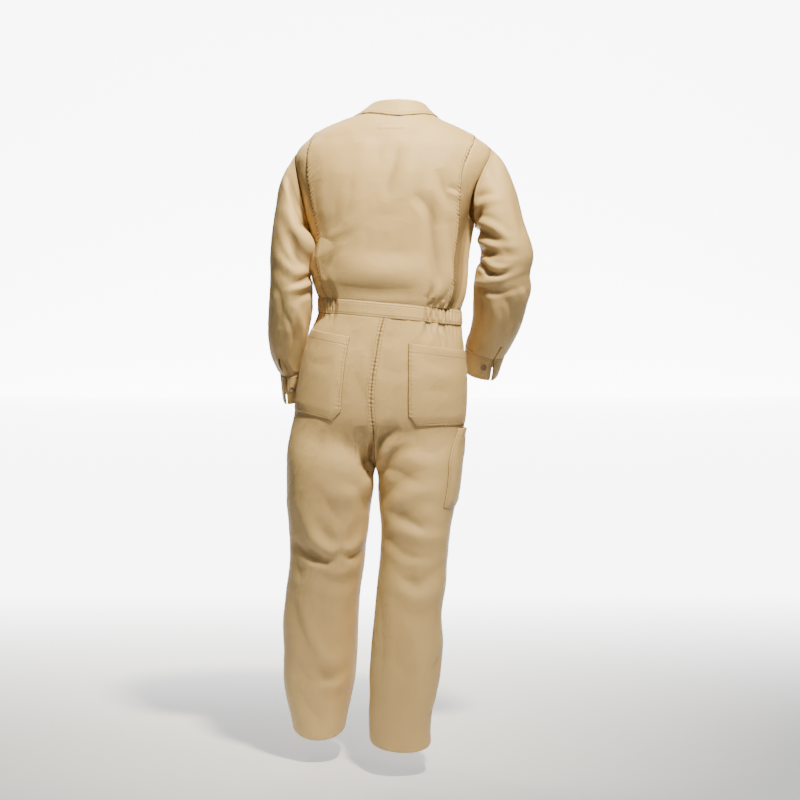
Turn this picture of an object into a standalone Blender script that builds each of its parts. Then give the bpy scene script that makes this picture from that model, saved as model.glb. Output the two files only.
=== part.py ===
"""Boiler suit, worn: a hollow one-piece work garment seen in its standing pose.

Every cloth piece is a thin wall laid on one of four smooth forms: the torso with
the seat, the two legs and the two sleeves. Heights in the tables are metres above
the floor; the part's origin is at the middle of the neck, neckHeight above it.
X is the wearer's left, Y the back and Z up.
"""

import math

import bmesh
import bpy
import numpy as np
from mathutils import Matrix, Vector

# Driving sizes, in metres.
neckHeight = 1.585      # origin above the floor
wall = 0.0016           # twill with its turned edges
seamGap = 0.0003        # between neighbouring pieces
waistHeight = 1.1108    # middle of the waistband
waistTilt = 0.0163      # the band is higher on the wearer's left
bandHalf = 0.0185       # half the waistband's width
forkTop = 0.860         # the seat starts to part into legs
crotch = 0.735          # lowest point of the seat seam
forkSpread = 80.0       # how far round the leg the fork's sharp turn fades out (degrees)
ringPower = 2.3         # roundness of the horizontal rings
zipHalf = 0.006         # from the centre front to each front edge
flyEnd = 0.800          # the zip ends here
flyClose = 0.030        # the front edges come together over this much below it

# Horizontal rings of the torso and seat.
torsoRings = {
    "height": (1.612, 1.600, 1.590, 1.572, 1.555, 1.540, 1.526, 1.508, 1.490, 1.450, 1.400, 1.350,
               1.300, 1.270, 1.240, 1.200, 1.150, 1.110, 1.060, 1.000, 0.940, 0.880, 0.820, 0.760, 0.700),
    "left": (0.070, 0.076, 0.086, 0.135, 0.176, 0.201, 0.217, 0.236, 0.246, 0.248, 0.240, 0.227,
             0.2115, 0.207, 0.204, 0.199, 0.194, 0.1935, 0.212, 0.229, 0.240, 0.249, 0.257, 0.265, 0.270),
    "right": (-0.068, -0.072, -0.080, -0.109, -0.147, -0.175, -0.196, -0.219, -0.228, -0.225, -0.209, -0.193,
              -0.180, -0.174, -0.168, -0.161, -0.155, -0.1525, -0.156, -0.162, -0.166, -0.165, -0.160,
              -0.155, -0.150),
    "back": (0.055, 0.062, 0.070, 0.084, 0.095, 0.103, 0.109, 0.116, 0.121, 0.130, 0.134, 0.134,
             0.130, 0.127, 0.123, 0.119, 0.117, 0.118, 0.124, 0.131, 0.135, 0.133, 0.126, 0.118, 0.112),
    "front": (-0.046, -0.052, -0.058, -0.066, -0.075, -0.084, -0.093, -0.103, -0.111, -0.126, -0.140, -0.147,
              -0.148, -0.147, -0.145, -0.141, -0.136, -0.134, -0.134, -0.134, -0.131, -0.124, -0.115,
              -0.108, -0.104),
}

# The wearer is turned a little, so the centre lines sit off the rings' middle (degrees).
turnOfBody = {
    "height": (1.60, 1.45, 1.12, 1.00, 0.90, 0.80, 0.72),
    "turn": (0.0, 6.0, 9.0, 8.0, 6.3, 2.0, 0.0),
}

# Neck seam and collar edge as ovals seen from above.
neckOval = {"middle": 0.0040, "across": 0.0807, "back": 0.0615, "front": -0.0855}
collarOval = {"middle": 0.0045, "across": 0.1000, "back": 0.0662, "front": -0.1180}

# Back pleat seams: angle from the centre back against height.
pleatLines = {
    "left": {
        "height": (1.541, 1.532, 1.517, 1.490, 1.440, 1.380, 1.300, 1.200, 1.125),
        "angle": (90.0, 73.0, 63.0, 57.5, 56.5, 57.0, 58.0, 60.0, 62.0),
    },
    "right": {
        "height": (1.537, 1.527, 1.508, 1.480, 1.445, 1.408, 1.370, 1.315, 1.220, 1.090),
        "angle": (90.0, 68.0, 52.0, 44.5, 42.0, 43.5, 45.5, 48.5, 49.0, 51.0),
    },
}

# Armholes: top and underarm heights, and how far they reach round to the back and front (degrees).
armholes = {
    "left": {"top": 1.492, "under": 1.292, "backReach": 18.0, "frontReach": 21.0},
    "right": {"top": 1.508, "under": 1.318, "backReach": 32.0, "frontReach": 17.0},
}

# Leg rings: edge nearest the other leg, outer edge, middle depth and half depth.
legRings = {
    "left": {
        "height": (0.735, 0.712, 0.676, 0.640, 0.570, 0.490, 0.420, 0.345, 0.270, 0.195, 0.145, 0.095, 0.050),
        "inner": (0.0543, 0.0600, 0.0615, 0.067, 0.077, 0.0845, 0.0945, 0.0995, 0.102, 0.109, 0.119, 0.130, 0.136),
        "outer": (0.2705, 0.2705, 0.271, 0.271, 0.2665, 0.266, 0.276, 0.283, 0.2815, 0.283, 0.276, 0.265, 0.258),
        "middle": (0.006, 0.0045, 0.001, -0.002, -0.010, -0.020, -0.030, -0.040, -0.048, -0.056, -0.060, -0.063,
                   -0.065),
        "depth": (0.112, 0.112, 0.111, 0.109, 0.104, 0.099, 0.094, 0.091, 0.088, 0.086, 0.085, 0.084, 0.083),
    },
    "right": {
        "height": (0.735, 0.712, 0.685, 0.658, 0.586, 0.515, 0.443, 0.371, 0.299, 0.227, 0.179, 0.131, 0.060),
        "inner": (0.0537, 0.0462, 0.0475, 0.0465, 0.040, 0.0425, 0.050, 0.0565, 0.0635, 0.067, 0.067, 0.069, 0.067),
        "outer": (-0.1515, -0.1495, -0.1465, -0.1414, -0.1275, -0.120, -0.115, -0.1045, -0.1085, -0.101, -0.0915,
                  -0.080, -0.078),
        "middle": (0.0105, 0.0115, 0.013, 0.016, 0.026, 0.036, 0.046, 0.055, 0.062, 0.068, 0.072, 0.075, 0.078),
        "depth": (0.112, 0.112, 0.112, 0.110, 0.104, 0.098, 0.093, 0.090, 0.087, 0.085, 0.083, 0.082, 0.081),
    },
}

# Hems: height at the inner side, back, outer side and front.
hems = {"left": (0.087, 0.056, 0.087, 0.104), "right": (0.080, 0.058, 0.071, 0.094)}

# Sleeve rings, one column for each station down the arm: outer edge, inner edge, middle depth, half depth.
sleeveRings = {
    "left": {
        "outerX": (0.246, 0.282, 0.2955, 0.306, 0.311, 0.311, 0.3155, 0.3185, 0.313, 0.3005, 0.291, 0.285),
        "outerZ": (1.492, 1.432, 1.370, 1.305, 1.240, 1.180, 1.115, 1.056, 1.008, 0.974, 0.9575, 0.892),
        "innerX": (0.2105, 0.221, 0.2175, 0.214, 0.211, 0.209, 0.2115, 0.220, 0.229, 0.2335, 0.2355, 0.2335),
        "innerZ": (1.292, 1.279, 1.250, 1.216, 1.180, 1.140, 1.100, 1.060, 1.020, 0.987, 0.9695, 0.903),
        "middle": (-0.002, 0.000, 0.004, 0.008, 0.010, 0.006, -0.010, -0.030, -0.050, -0.064, -0.070, -0.090),
        "depth": (0.088, 0.087, 0.084, 0.078, 0.072, 0.069, 0.066, 0.062, 0.057, 0.052, 0.047, 0.047),
    },
    "right": {
        "outerX": (-0.219, -0.259, -0.286, -0.306, -0.3275, -0.3205, -0.3235, -0.312, -0.299, -0.2825, -0.270,
                   -0.2625, -0.247),
        "outerZ": (1.508, 1.464, 1.402, 1.325, 1.252, 1.203, 1.165, 1.122, 1.075, 1.036, 1.013, 1.003, 0.955),
        "innerX": (-0.1835, -0.198, -0.198, -0.199, -0.2035, -0.191, -0.186, -0.185, -0.184, -0.1785, -0.172,
                   -0.170, -0.1675),
        "innerZ": (1.318, 1.308, 1.290, 1.270, 1.245, 1.208, 1.176, 1.138, 1.100, 1.064, 1.041, 1.030, 0.968),
        "middle": (0.006, 0.010, 0.016, 0.024, 0.030, 0.026, 0.016, 0.000, -0.020, -0.042, -0.054, -0.060, -0.083),
        "depth": (0.090, 0.088, 0.085, 0.079, 0.073, 0.068, 0.067, 0.064, 0.060, 0.054, 0.049, 0.046, 0.046),
    },
}
cuffSeam = {"left": 10, "right": 11}    # the station where each cuff is sewn on
capStations = 2.5       # the sleeve cap's length down to where it is a plain tube
armholeBack = (0, 180)  # the armhole's two halves, from its top (degrees)
armholeFront = (360, 180)
slitAngle = 61.0        # the sleeve slit, from the outer edge towards the back (degrees)
slitHalf = 2.0          # half its opening (degrees)
slitStations = 2.2      # its length up the sleeve
cuffStand = {"upper": 0.007, "under": 0.004}    # how far the cuff's two ends stand off

# The pleats' mouths: heights, how far the edges part and over how many degrees.
pleatMouth = {
    "left": {"bottom": 1.14, "top": 1.50, "lift": 0.0015, "sink": 0.0015, "spread": 7.0},
    "right": {"bottom": 1.13, "top": 1.43, "lift": 0.0065, "sink": 0.0065, "spread": 8.0},
}

# Collar: height of its fold against the angle from the centre back.
collarLine = {
    "angle": (0, 45, 90, 135, 165, 180),
    "fold": (1.634, 1.627, 1.610, 1.589, 1.571, 1.566),
}
collarFold = {"across": 0.0655, "back": 0.054, "front": -0.073}
collarTurn = 0.0045     # thickness of the fold from stand to fall
collarRound = {"reach": 0.004, "lead": 0.001, "inset": 0.0006}  # how the fold's tight turn is stepped
collarBelly = 0.0012    # the fall bows out this much
collarSpread = 0.13     # the points lie this share of a half turn from the front
collarClear = 0.0058    # fall edge above the bodice
collarRest = 0.85       # share of the fall by which it lies on the bodice
collarLap = wall + 0.0021      # the stand is sewn on over the bodice's neck edge

# Zip, slider and pull tab.
zipColumns = (0.014, 0.0045, 0.003)     # tape edge and chain edges from the centre
zipRows = 26
zipInset = 0.004        # the tape stops this far below the neck and short of the fly's end
zipSink = 0.0012        # tape behind the front edges
chainLift = 0.0022
sliderHeight = 1.515    # middle of the slider
slider = {"wide": 0.009, "tall": 0.016, "thick": 0.004, "clear": 0.0004}
bridge = {"wide": 0.0028, "post": 0.0015, "low": -0.0045, "high": 0.0055, "rise": 0.0040, "top": 0.0013}
pull = {"bar": 0.0014, "reach": 0.026, "wide": 0.0072, "hole": 0.0042, "holeReach": 0.0085, "thick": 0.0012}
button = {"radius": 0.0075, "thick": 0.003, "bevel": 0.0007}

# Waistband elastic: where it starts at each side and ends (degrees), and its gathers.
elasticStart = {"left": 48.0, "right": -36.0}
elasticEnd = 88.0
gatherCount = 9
gatherLift = 0.0028

# Trouser grid: lines round the leg, and rows as heights at the centre seam and at the side seam.
backLines = (0.0, 14.0, 29.0, 45.0, 65.0, 85.0, 105.0, 122.0, 137.0, 151.0, 165.0, 180.0)
frontLines = (180.0, 200.0, 220.0, 242.0, 264.0, 286.0, 308.0, 328.0, 345.0, 360.0)
sharedRows = ((0.712, 0.712), (0.676, 0.676), (0.641, 0.641), (0.612, 0.612), (0.583, 0.583), (0.555, 0.555),
              (0.527, 0.527), (0.497, 0.497), (0.460, 0.460), (0.415, 0.415), (0.365, 0.365), (0.310, 0.310),
              (0.250, 0.250), (0.190, 0.190), (0.135, 0.135))
legRows = {
    "left": ((1.066, 1.085), (1.039, 1.0675), (0.985, 1.015), (0.925, 0.960), (0.868, 0.905), (0.841, 0.885),
             (0.810, 0.842), (0.784, 0.803), (0.759, 0.768), (0.743, 0.746), (0.735, 0.735)) + sharedRows,
    "right": ((1.070, 1.046), (1.046, 1.013), (0.985, 0.965), (0.920, 0.908), (0.856, 0.850), (0.828, 0.828),
              (0.812, 0.812), (0.786, 0.786), (0.761, 0.761), (0.744, 0.744), (0.735, 0.735)) + sharedRows,
}
pocketLines = (45.0, 165.0)         # edges of a back pocket among the back lines
pocketRows = {"left": (2, 6), "right": (2, 6)}
rulePocketLines = (137.0, 180.0)
rulePocketRows = (7, 14)
welt = {"topAround": 262.0, "endAround": 200.0, "top": 1.045, "end": 0.905, "turn": 3.0, "width": 0.020,
        "clear": 0.0009}

foldRadius = {"torso": 0.19, "leg": 0.10}   # turns fold widths into degrees round a form

# Largest folds, as ridges (positive) or troughs: start and end in form angle and height, half width, lift.
torsoFolds = (
    (34, 1.40, 40, 1.16, 0.014, 0.0045),
    (22, 1.44, 24, 1.20, 0.016, -0.0035),
    (-24, 1.42, -34, 1.15, 0.014, 0.0050),
    (-10, 1.36, -20, 1.14, 0.016, -0.0035),
    (-34, 1.47, -30, 1.36, 0.014, -0.0030),
    (78, 1.24, 20, 1.165, 0.012, 0.0050),
    (-80, 1.22, -20, 1.150, 0.012, 0.0050),
    (130, 1.38, 150, 1.18, 0.016, 0.0045),
    (-130, 1.38, -150, 1.16, 0.016, 0.0045),
    (100, 1.20, 150, 1.155, 0.012, 0.0045),
    (-100, 1.18, -150, 1.140, 0.012, 0.0045),
)
legFolds = {
    "left": (
        (20, 0.66, 92, 0.525, 0.017, 0.0070),
        (170, 0.66, 92, 0.525, 0.017, 0.0065),
        (28, 0.61, 96, 0.490, 0.014, -0.0060),
        (166, 0.60, 96, 0.490, 0.014, -0.0055),
        (60, 0.46, 140, 0.330, 0.018, 0.0045),
        (40, 0.30, 120, 0.180, 0.018, 0.0040),
        (300, 0.62, 250, 0.500, 0.018, -0.0050),
        (310, 0.30, 240, 0.180, 0.020, 0.0045),
    ),
    "right": (
        (30, 0.64, 110, 0.560, 0.018, 0.0045),
        (150, 0.56, 70, 0.480, 0.018, -0.0040),
        (130, 0.40, 60, 0.250, 0.020, 0.0045),
        (40, 0.20, 130, 0.120, 0.016, -0.0035),
        (230, 0.62, 300, 0.500, 0.018, -0.0050),
        (240, 0.34, 300, 0.180, 0.020, 0.0045),
    ),
}

# Sleeve folds: start and end as angle and station, half width in stations and in degrees, lift.
sleeveFolds = {
    "left": (
        (20, 1.6, 110, 3.2, 0.28, 0.0050),
        (30, 3.4, 130, 4.6, 0.24, 0.0050),
        (160, 3.6, 60, 5.2, 0.24, -0.0045),
        (20, 5.4, 110, 6.6, 0.26, 0.0050),
        (200, 4.2, 300, 5.4, 0.26, -0.0050),
        (250, 2.0, 330, 3.4, 0.30, 0.0045),
        (40, 7.0, 120, 7.8, 0.24, 0.0040),
    ),
    "right": (
        (60, 1.2, 150, 1.9, 0.24, 0.0055),
        (50, 2.3, 150, 3.0, 0.24, -0.0050),
        (30, 3.4, 130, 3.0, 0.20, 0.0060),
        (20, 4.5, 150, 4.3, 0.22, -0.0065),
        (30, 5.4, 120, 5.0, 0.22, 0.0055),
        (40, 6.6, 130, 6.0, 0.24, -0.0040),
        (30, 8.2, 120, 7.6, 0.24, 0.0045),
        (220, 4.2, 320, 4.8, 0.26, -0.0055),
    ),
}


def curveThrough(knots, values, at):
    """A smooth curve through the values, read at the given places."""
    order = np.argsort(knots)
    knots = np.asarray(knots, float)[order]
    values = np.asarray(values, float)[order]
    steps = np.diff(knots)
    rises = np.diff(values) / steps
    middle = (rises[:-1] * steps[1:] + rises[1:] * steps[:-1]) / (steps[1:] + steps[:-1])
    slopes = np.concatenate([rises[:1], middle, rises[-1:]])
    at = np.clip(np.asarray(at, float), knots[0], knots[-1])
    cell = np.clip(np.searchsorted(knots, at, side="right") - 1, 0, len(steps) - 1)
    t = (at - knots[cell]) / steps[cell]
    start = values[cell] * (1 + 2 * t) * (1 - t) ** 2 + slopes[cell] * steps[cell] * t * (1 - t) ** 2
    end = values[cell + 1] * t * t * (3 - 2 * t) - slopes[cell + 1] * steps[cell] * t * t * (1 - t)
    return start + end


def column(table, name, at, by="height"):
    return curveThrough(table[by], table[name], at)


def smoothStep(t):
    t = np.clip(t, 0, 1)
    return t * t * (3 - 2 * t)


def ringPoints(centreX, halfX, centreY, halfY, height, across, along):
    """Points of a rounded ring; across and along are the sine and cosine of the ring angle."""
    reach = (np.abs(across) ** ringPower + np.abs(along) ** ringPower) ** (-1 / ringPower)
    return np.stack([centreX + halfX * reach * across, centreY + halfY * reach * along,
                     height + 0 * across], axis=-1)


def torso(angle, height):
    """Torso and seat: the angle runs from the centre back to the wearer's left, in degrees."""
    left = column(torsoRings, "left", height)
    right = column(torsoRings, "right", height)
    back = column(torsoRings, "back", height)
    front = column(torsoRings, "front", height)
    turn = np.radians(angle)
    return ringPoints((left + right) / 2, (left - right) / 2, (back + front) / 2, (back - front) / 2,
                      height, np.sin(turn), np.cos(turn))


def bodyTurn(height):
    return column(turnOfBody, "turn", height)


def seatAngle(side, around, height):
    """Torso angle of a leg's own angle, which runs from the inseam by the back (0 to 360)."""
    turn = bodyTurn(height)
    flank = 90.0 if side == "left" else -90.0
    share = around / 180.0
    front = 180.0 + turn if side == "left" else -180.0 + turn
    return np.where(share <= 1, turn + (flank - turn) * share, flank + (front - flank) * (share - 1))


def leg(side, around, height):
    """One leg with its half of the seat; around runs from the inseam by the back, in degrees."""
    rings = legRings[side]
    inner = column(rings, "inner", height)
    outer = column(rings, "outer", height)
    turn = np.radians(around)
    tube = ringPoints((inner + outer) / 2, (outer - inner) / 2, column(rings, "middle", height),
                      column(rings, "depth", height), height, -np.cos(turn), np.sin(turn))
    seat = torso(seatAngle(side, around, height), height)
    drop = np.clip((forkTop - height) / (forkTop - crotch), 0, 1)
    outward = smoothStep(np.minimum(around, 360 - around) / forkSpread)
    share = (1 - np.sqrt(1 - drop ** 2)) * (1 - outward) + smoothStep(drop) * outward
    return seat * (1 - share[..., None]) + tube * share[..., None]


def armholePoint(side, around):
    """Angle and height on the torso of the armhole edge; around runs from the top by the back."""
    hole = armholes[side]
    turn = np.radians(around)
    middle = (hole["top"] + hole["under"]) / 2
    reach = np.where(np.sin(turn) > 0, hole["backReach"], hole["frontReach"])
    sign = 1 if side == "left" else -1
    angle = sign * (90 - reach * np.sin(turn))
    return angle, middle + (hole["top"] - middle) * np.cos(turn)


def armRing(rings, side, around, station):
    """A ring across the arm, square to its own axis."""
    stations = np.arange(len(rings["outerX"]))

    def read(name, at):
        return curveThrough(stations, rings[name], at)

    def middle(at):
        return np.stack([(read("outerX", at) + read("innerX", at)) / 2, read("middle", at),
                         (read("outerZ", at) + read("innerZ", at)) / 2], axis=-1)

    half = np.stack([(read("outerX", station) - read("innerX", station)) / 2, 0 * station,
                     (read("outerZ", station) - read("innerZ", station)) / 2], axis=-1)
    low = np.clip(station - 0.25, 0, stations[-1])
    high = np.clip(station + 0.25, 0, stations[-1])
    axis = middle(high) - middle(low)
    square = np.cross(half, axis) * (1 if side == "left" else -1)
    square = square / np.linalg.norm(square, axis=-1, keepdims=True)
    turn = np.radians(around)[..., None]
    return middle(station) + half * np.cos(turn) + square * read("depth", station)[..., None] * np.sin(turn)


def sleeve(side, around, station):
    """A sleeve: starts on the armhole edge, just outside the bodice, and becomes the arm's rings."""
    around, station = np.broadcast_arrays(np.asarray(around, float), np.asarray(station, float))
    angle, height = armholePoint(side, around)
    edge = torso(angle, height)
    lap = wall + 2 * seamGap + wall * (1 - np.cos(np.radians(around))) / 2
    edge = edge + formNormals(torso, angle, height, -1) * lap[..., None]
    keep = 1 - smoothStep(station / capStations)[..., None]
    rings = sleeveRings[side]
    return armRing(rings, side, around, station) + (edge - armRing(rings, side, around, 0 * station)) * keep


def formNormals(form, first, second, sign, stepFirst=0.5, stepSecond=0.002):
    """Unit normals of a form, pointing out of the cloth."""
    alongFirst = form(first + stepFirst, second) - form(first - stepFirst, second)
    alongSecond = form(first, second + stepSecond) - form(first, second - stepSecond)
    normals = np.cross(alongFirst, alongSecond) * sign
    return normals / np.maximum(np.linalg.norm(normals, axis=-1, keepdims=True), 1e-12)


def foldLift(folds, first, second, firstScale, turnOver=360.0):
    """Height of the folds at a place; firstScale turns degrees into the second coordinate's unit."""
    total = np.zeros(np.broadcast(first, second).shape)
    for startA, startB, endA, endB, width, lift in folds:
        runA = (endA - startA) * firstScale
        runB = endB - startB
        away = ((first - startA + turnOver / 2) % turnOver - turnOver / 2) * firstScale
        t = np.clip((away * runA + (second - startB) * runB) / (runA ** 2 + runB ** 2), 0, 1)
        distance = np.hypot(away - t * runA, second - startB - t * runB)
        taper = 0.25 + 0.75 * np.sin(np.pi * np.clip(t, 0, 1))
        total = total + lift * taper * np.exp(-(distance / width) ** 2)
    return total


# Grid lines shared by the pieces that meet along them.
armholeCells = 8        # along each half of an armhole
sideCells = 5           # down the bodice's side seam
backCells = 8           # across half the back centre panel
flankCells = 3          # across a back side panel
neckCells = 10          # across the back of the neck
frontNeckCells = 4      # across half the front of the neck
shoulderCells = 3       # along the shoulder seam, on each side of the pleat
panelRows = armholeCells + sideCells
rowSpread = 1.45        # rows lie closer together near the shoulders
frontCells = flankCells + shoulderCells + frontNeckCells


def waistMiddle(angle):
    return waistHeight + waistTilt * np.sin(np.radians(angle))


def waistEdge(angle, side):
    """Edge line of the waistband: side is 1 for its top and -1 for its bottom."""
    return np.stack([angle, waistMiddle(angle) + side * bandHalf], axis=-1)


def pleatAngle(side, height):
    sign = 1 if side == "left" else -1
    return sign * column(pleatLines[side], "angle", height)


def seamPleat(side):
    """The back pleat seam from the shoulder to the waist, as torso angle and height."""
    low = pleatAngle(side, waistHeight)
    bottom = waistMiddle(low) + bandHalf
    top = pleatLines[side]["height"][0]
    height = top + (bottom - top) * np.linspace(0, 1, panelRows + 1) ** rowSpread
    return np.stack([pleatAngle(side, height), height], axis=-1)


def seamShoulder(side):
    """The shoulder seam from the armhole to the neck, by way of the pleat's top."""
    flank = 90.0 if side == "left" else -90.0
    pleatTop = pleatLines[side]["height"][0]
    low = np.linspace(armholes[side]["top"], pleatTop, flankCells + 1)
    high = np.linspace(pleatTop, seamNeck(np.array((flank,)))[0, 1], shoulderCells + 1)[1:]
    height = np.concatenate([low, high])
    return np.stack([np.full(height.shape, flank), height], axis=-1)


def ringShares(across, depth, height):
    """A place seen from above as shares of the torso ring at a height."""
    left = column(torsoRings, "left", height)
    right = column(torsoRings, "right", height)
    back = column(torsoRings, "back", height)
    front = column(torsoRings, "front", height)
    return (across - (left + right) / 2) / ((left - right) / 2), (depth - (back + front) / 2) / ((back - front) / 2)


def onTorso(across, depth):
    """Torso angle and height where the surface passes through a place seen from above."""
    low = np.full(np.shape(across), 1.44)
    high = np.full(np.shape(across), torsoRings["height"][0])
    for _ in range(40):
        middle = (low + high) / 2
        share, along = ringShares(across, depth, middle)
        outside = np.abs(share) ** ringPower + np.abs(along) ** ringPower > 1
        high = np.where(outside, middle, high)
        low = np.where(outside, low, middle)
    share, along = ringShares(across, depth, low)
    return np.degrees(np.arctan2(share, along)), low


def ovalPlace(oval, turn):
    """A place on an oval; turn runs from the centre back to the wearer's left, in degrees."""
    turn = np.radians(turn)
    depth = np.where(np.cos(turn) > 0, oval["back"], -oval["front"])
    return oval["middle"] + oval["across"] * np.sin(turn), depth * np.cos(turn)


def neckTurns():
    """Places of the neck's grid lines round its oval, from the right front edge to the left one."""
    front = np.degrees(zipHalf / neckOval["across"])
    left = np.linspace(90, 180 - front, frontNeckCells + 1)
    back = np.linspace(-90, 90, neckCells + 1)
    return np.concatenate([-left[::-1], back[1:-1], left])


def seamNeck(turns):
    angle, height = onTorso(*ovalPlace(neckOval, turns))
    return np.stack([angle, height], axis=-1)


def seamArmhole(side, fromAround, toAround, count):
    around = np.linspace(fromAround, toAround, count)
    angle, height = armholePoint(side, around)
    return np.stack([angle, height], axis=-1)


def seamSide(side):
    """The bodice's side seam from the underarm to the waistband."""
    flank = 90.0 if side == "left" else -90.0
    bottom = waistMiddle(flank) + bandHalf
    height = np.linspace(armholes[side]["under"], bottom, sideCells + 1)
    return np.stack([np.full(height.shape, flank), height], axis=-1)


def frontEdgeAngle(side, height):
    """Torso angle of a front edge, beside the zip."""
    turn = bodyTurn(height)
    return 180 + turn - zipAngle(height) if side == "left" else -180 + turn + zipAngle(height)


def zipAngle(height):
    """Half the front opening as a torso angle, closing to nothing at the end of the fly."""
    half = (column(torsoRings, "left", height) - column(torsoRings, "right", height)) / 2
    return np.degrees(zipHalf / half)


def angleAt(across, height, behind):
    """Torso angle of a place given by its X and height, on the back or the front of the ring."""
    left = column(torsoRings, "left", height)
    right = column(torsoRings, "right", height)
    share = np.clip((across - (left + right) / 2) / ((left - right) / 2), -1, 1)
    rest = (1 - np.abs(share) ** ringPower) ** (1 / ringPower)
    return np.degrees(np.arctan2(share, rest if behind else -rest))


def coonsPatch(top, bottom, left, right, behind):
    """Fills four edge curves of the torso with a grid: rows from top to bottom, columns from left to right."""
    edges = [np.stack([torso(edge[:, 0], edge[:, 1])[:, 0], edge[:, 1]], axis=-1)
             for edge in (top, bottom, left, right)]
    u = np.linspace(0, 1, len(top))[None, :, None]
    v = np.linspace(0, 1, len(left))[:, None, None]
    ruled = edges[0][None] * (1 - v) + edges[1][None] * v + edges[2][:, None] * (1 - u) + edges[3][:, None] * u
    corners = (edges[0][0] * (1 - u) + edges[0][-1] * u) * (1 - v) + (edges[1][0] * (1 - u) + edges[1][-1] * u) * v
    flat = ruled - corners
    angle = angleAt(flat[..., 0], flat[..., 1], behind)
    if not behind and left[1, 0] < 0:
        angle = np.where(angle > 0, angle - 360, angle)
    grid = np.stack([angle, flat[..., 1]], axis=-1)
    grid[0] = top
    grid[-1] = bottom
    grid[:, 0] = left
    grid[:, -1] = right
    return grid


def cloth(name, points, normals, finish, low=0.0, high=wall, skip=None):
    """A wall between two grids moved off the same points; skip marks cells that are left open."""
    rows, columns = points.shape[:2]
    points = points.copy()
    for edge, beside in ((0, 1), (-1, -2)):
        step = points[beside] - points[edge]
        points[edge] += step * (seamGap / 2 / np.linalg.norm(step, axis=-1, keepdims=True))
    for edge, beside in ((0, 1), (-1, -2)):
        step = points[:, beside] - points[:, edge]
        points[:, edge] += step * (seamGap / 2 / np.linalg.norm(step, axis=-1, keepdims=True))
    mesh = bmesh.new()
    skins = []
    for offset in (low, high):
        made = bmesh.ops.create_grid(mesh, x_segments=columns - 1, y_segments=rows - 1, size=1.0)["verts"]
        places = (points + normals * offset).reshape(-1, 3)
        for vertex, place in zip(made, places):
            vertex.co = (place[0], place[1], place[2] - neckHeight)
        skins.append(made)
    if skip is not None:
        cut = []
        for made in skins:
            for row, col in zip(*np.nonzero(skip)):
                corner = made[row * columns + col]
                across = made[row * columns + col + 1]
                above = made[(row + 1) * columns + col]
                shared = set(corner.link_faces) & set(across.link_faces) & set(above.link_faces)
                cut.extend(shared)
        bmesh.ops.delete(mesh, geom=list(set(cut)), context="FACES")
    rims = [edge for edge in mesh.edges if edge.is_boundary]
    bmesh.ops.bridge_loops(mesh, edges=rims)
    bmesh.ops.recalc_face_normals(mesh, faces=mesh.faces[:])
    return addPart(name, mesh, finish)


def addPart(name, mesh, finish):
    data = bpy.data.meshes.new(name)
    mesh.to_mesh(data)
    mesh.free()
    data.shade_smooth()
    data.set_sharp_from_angle(angle=math.radians(50))
    data.materials.append(finish)
    part = bpy.data.objects.new(name, data)
    suit.objects.link(part)
    return part


def torsoRelief(angle, height):
    return foldLift(torsoFolds, angle, height, math.radians(1) * foldRadius["torso"])


def pleatOpening(side, angle, height):
    """How far a pleat's edge stands off, at a distance from the pleat seam."""
    size = pleatMouth[side]
    span = (height - size["bottom"]) / (size["top"] - size["bottom"])
    along = np.sin(np.pi * np.clip(span, 0, 1)) ** 0.7
    return along * np.exp(-((angle - pleatAngle(side, height)) / size["spread"]) ** 2)


def torsoPanel(name, grid, lift=0.0):
    angle = grid[..., 0]
    height = grid[..., 1]
    normals = formNormals(torso, angle, height, -1)
    points = torso(angle, height) + normals * (torsoRelief(angle, height) + lift)[..., None]
    return cloth(name, points, normals, twill)


def buildBodice():
    back = []
    for side in ("left", "right"):
        shoulder = seamShoulder(side)
        edge = np.concatenate([seamArmhole(side, *armholeBack, armholeCells + 1), seamSide(side)[1:]])
        pleat = seamPleat(side)
        flank = edge[-1, 0]
        waist = waistEdge(np.linspace(pleat[-1, 0], flank, flankCells + 1), 1)
        grid = coonsPatch(shoulder[flankCells::-1], waist, pleat, edge, True)
        sink = -pleatMouth[side]["sink"] * pleatOpening(side, grid[..., 0], grid[..., 1])
        torsoPanel("back_side_" + side, grid, sink)
        back.append((shoulder[flankCells:], pleat))
    (leftShoulder, leftPleat), (rightShoulder, rightPleat) = back
    turns = neckTurns()
    neck = seamNeck(turns[np.abs(turns) < 89.9][::-1])
    top = np.concatenate([leftShoulder, neck, rightShoulder[::-1]])
    waist = waistEdge(np.linspace(leftPleat[-1, 0], rightPleat[-1, 0], 2 * backCells + 1), 1)
    grid = coonsPatch(top, waist, leftPleat, rightPleat, True)
    lift = sum(pleatMouth[side]["lift"] * pleatOpening(side, grid[..., 0], grid[..., 1])
               for side in ("left", "right"))
    torsoPanel("back_centre", grid, lift)
    for side in ("left", "right"):
        sign = 1 if side == "left" else -1
        edge = np.concatenate([seamArmhole(side, *armholeFront, armholeCells + 1), seamSide(side)[1:]])
        neck = seamNeck(turns[turns * sign > 90.1][::sign])
        neck[:, 0] = np.where(neck[:, 0] * sign < 0, neck[:, 0] + 360 * sign, neck[:, 0])
        top = np.concatenate([seamShoulder(side), neck])
        neckHigh = neck[-1, 1]
        low = frontEdgeAngle(side, waistHeight)
        waist = waistEdge(np.linspace(90 * sign, low, frontCells + 1), 1)
        height = neckHigh + (waist[-1, 1] - neckHigh) * np.linspace(0, 1, panelRows + 1) ** rowSpread
        front = np.stack([frontEdgeAngle(side, height), height], axis=-1)
        front[0] = neck[-1]
        torsoPanel("front_" + side, coonsPatch(top, waist, edge, front, False))


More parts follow.
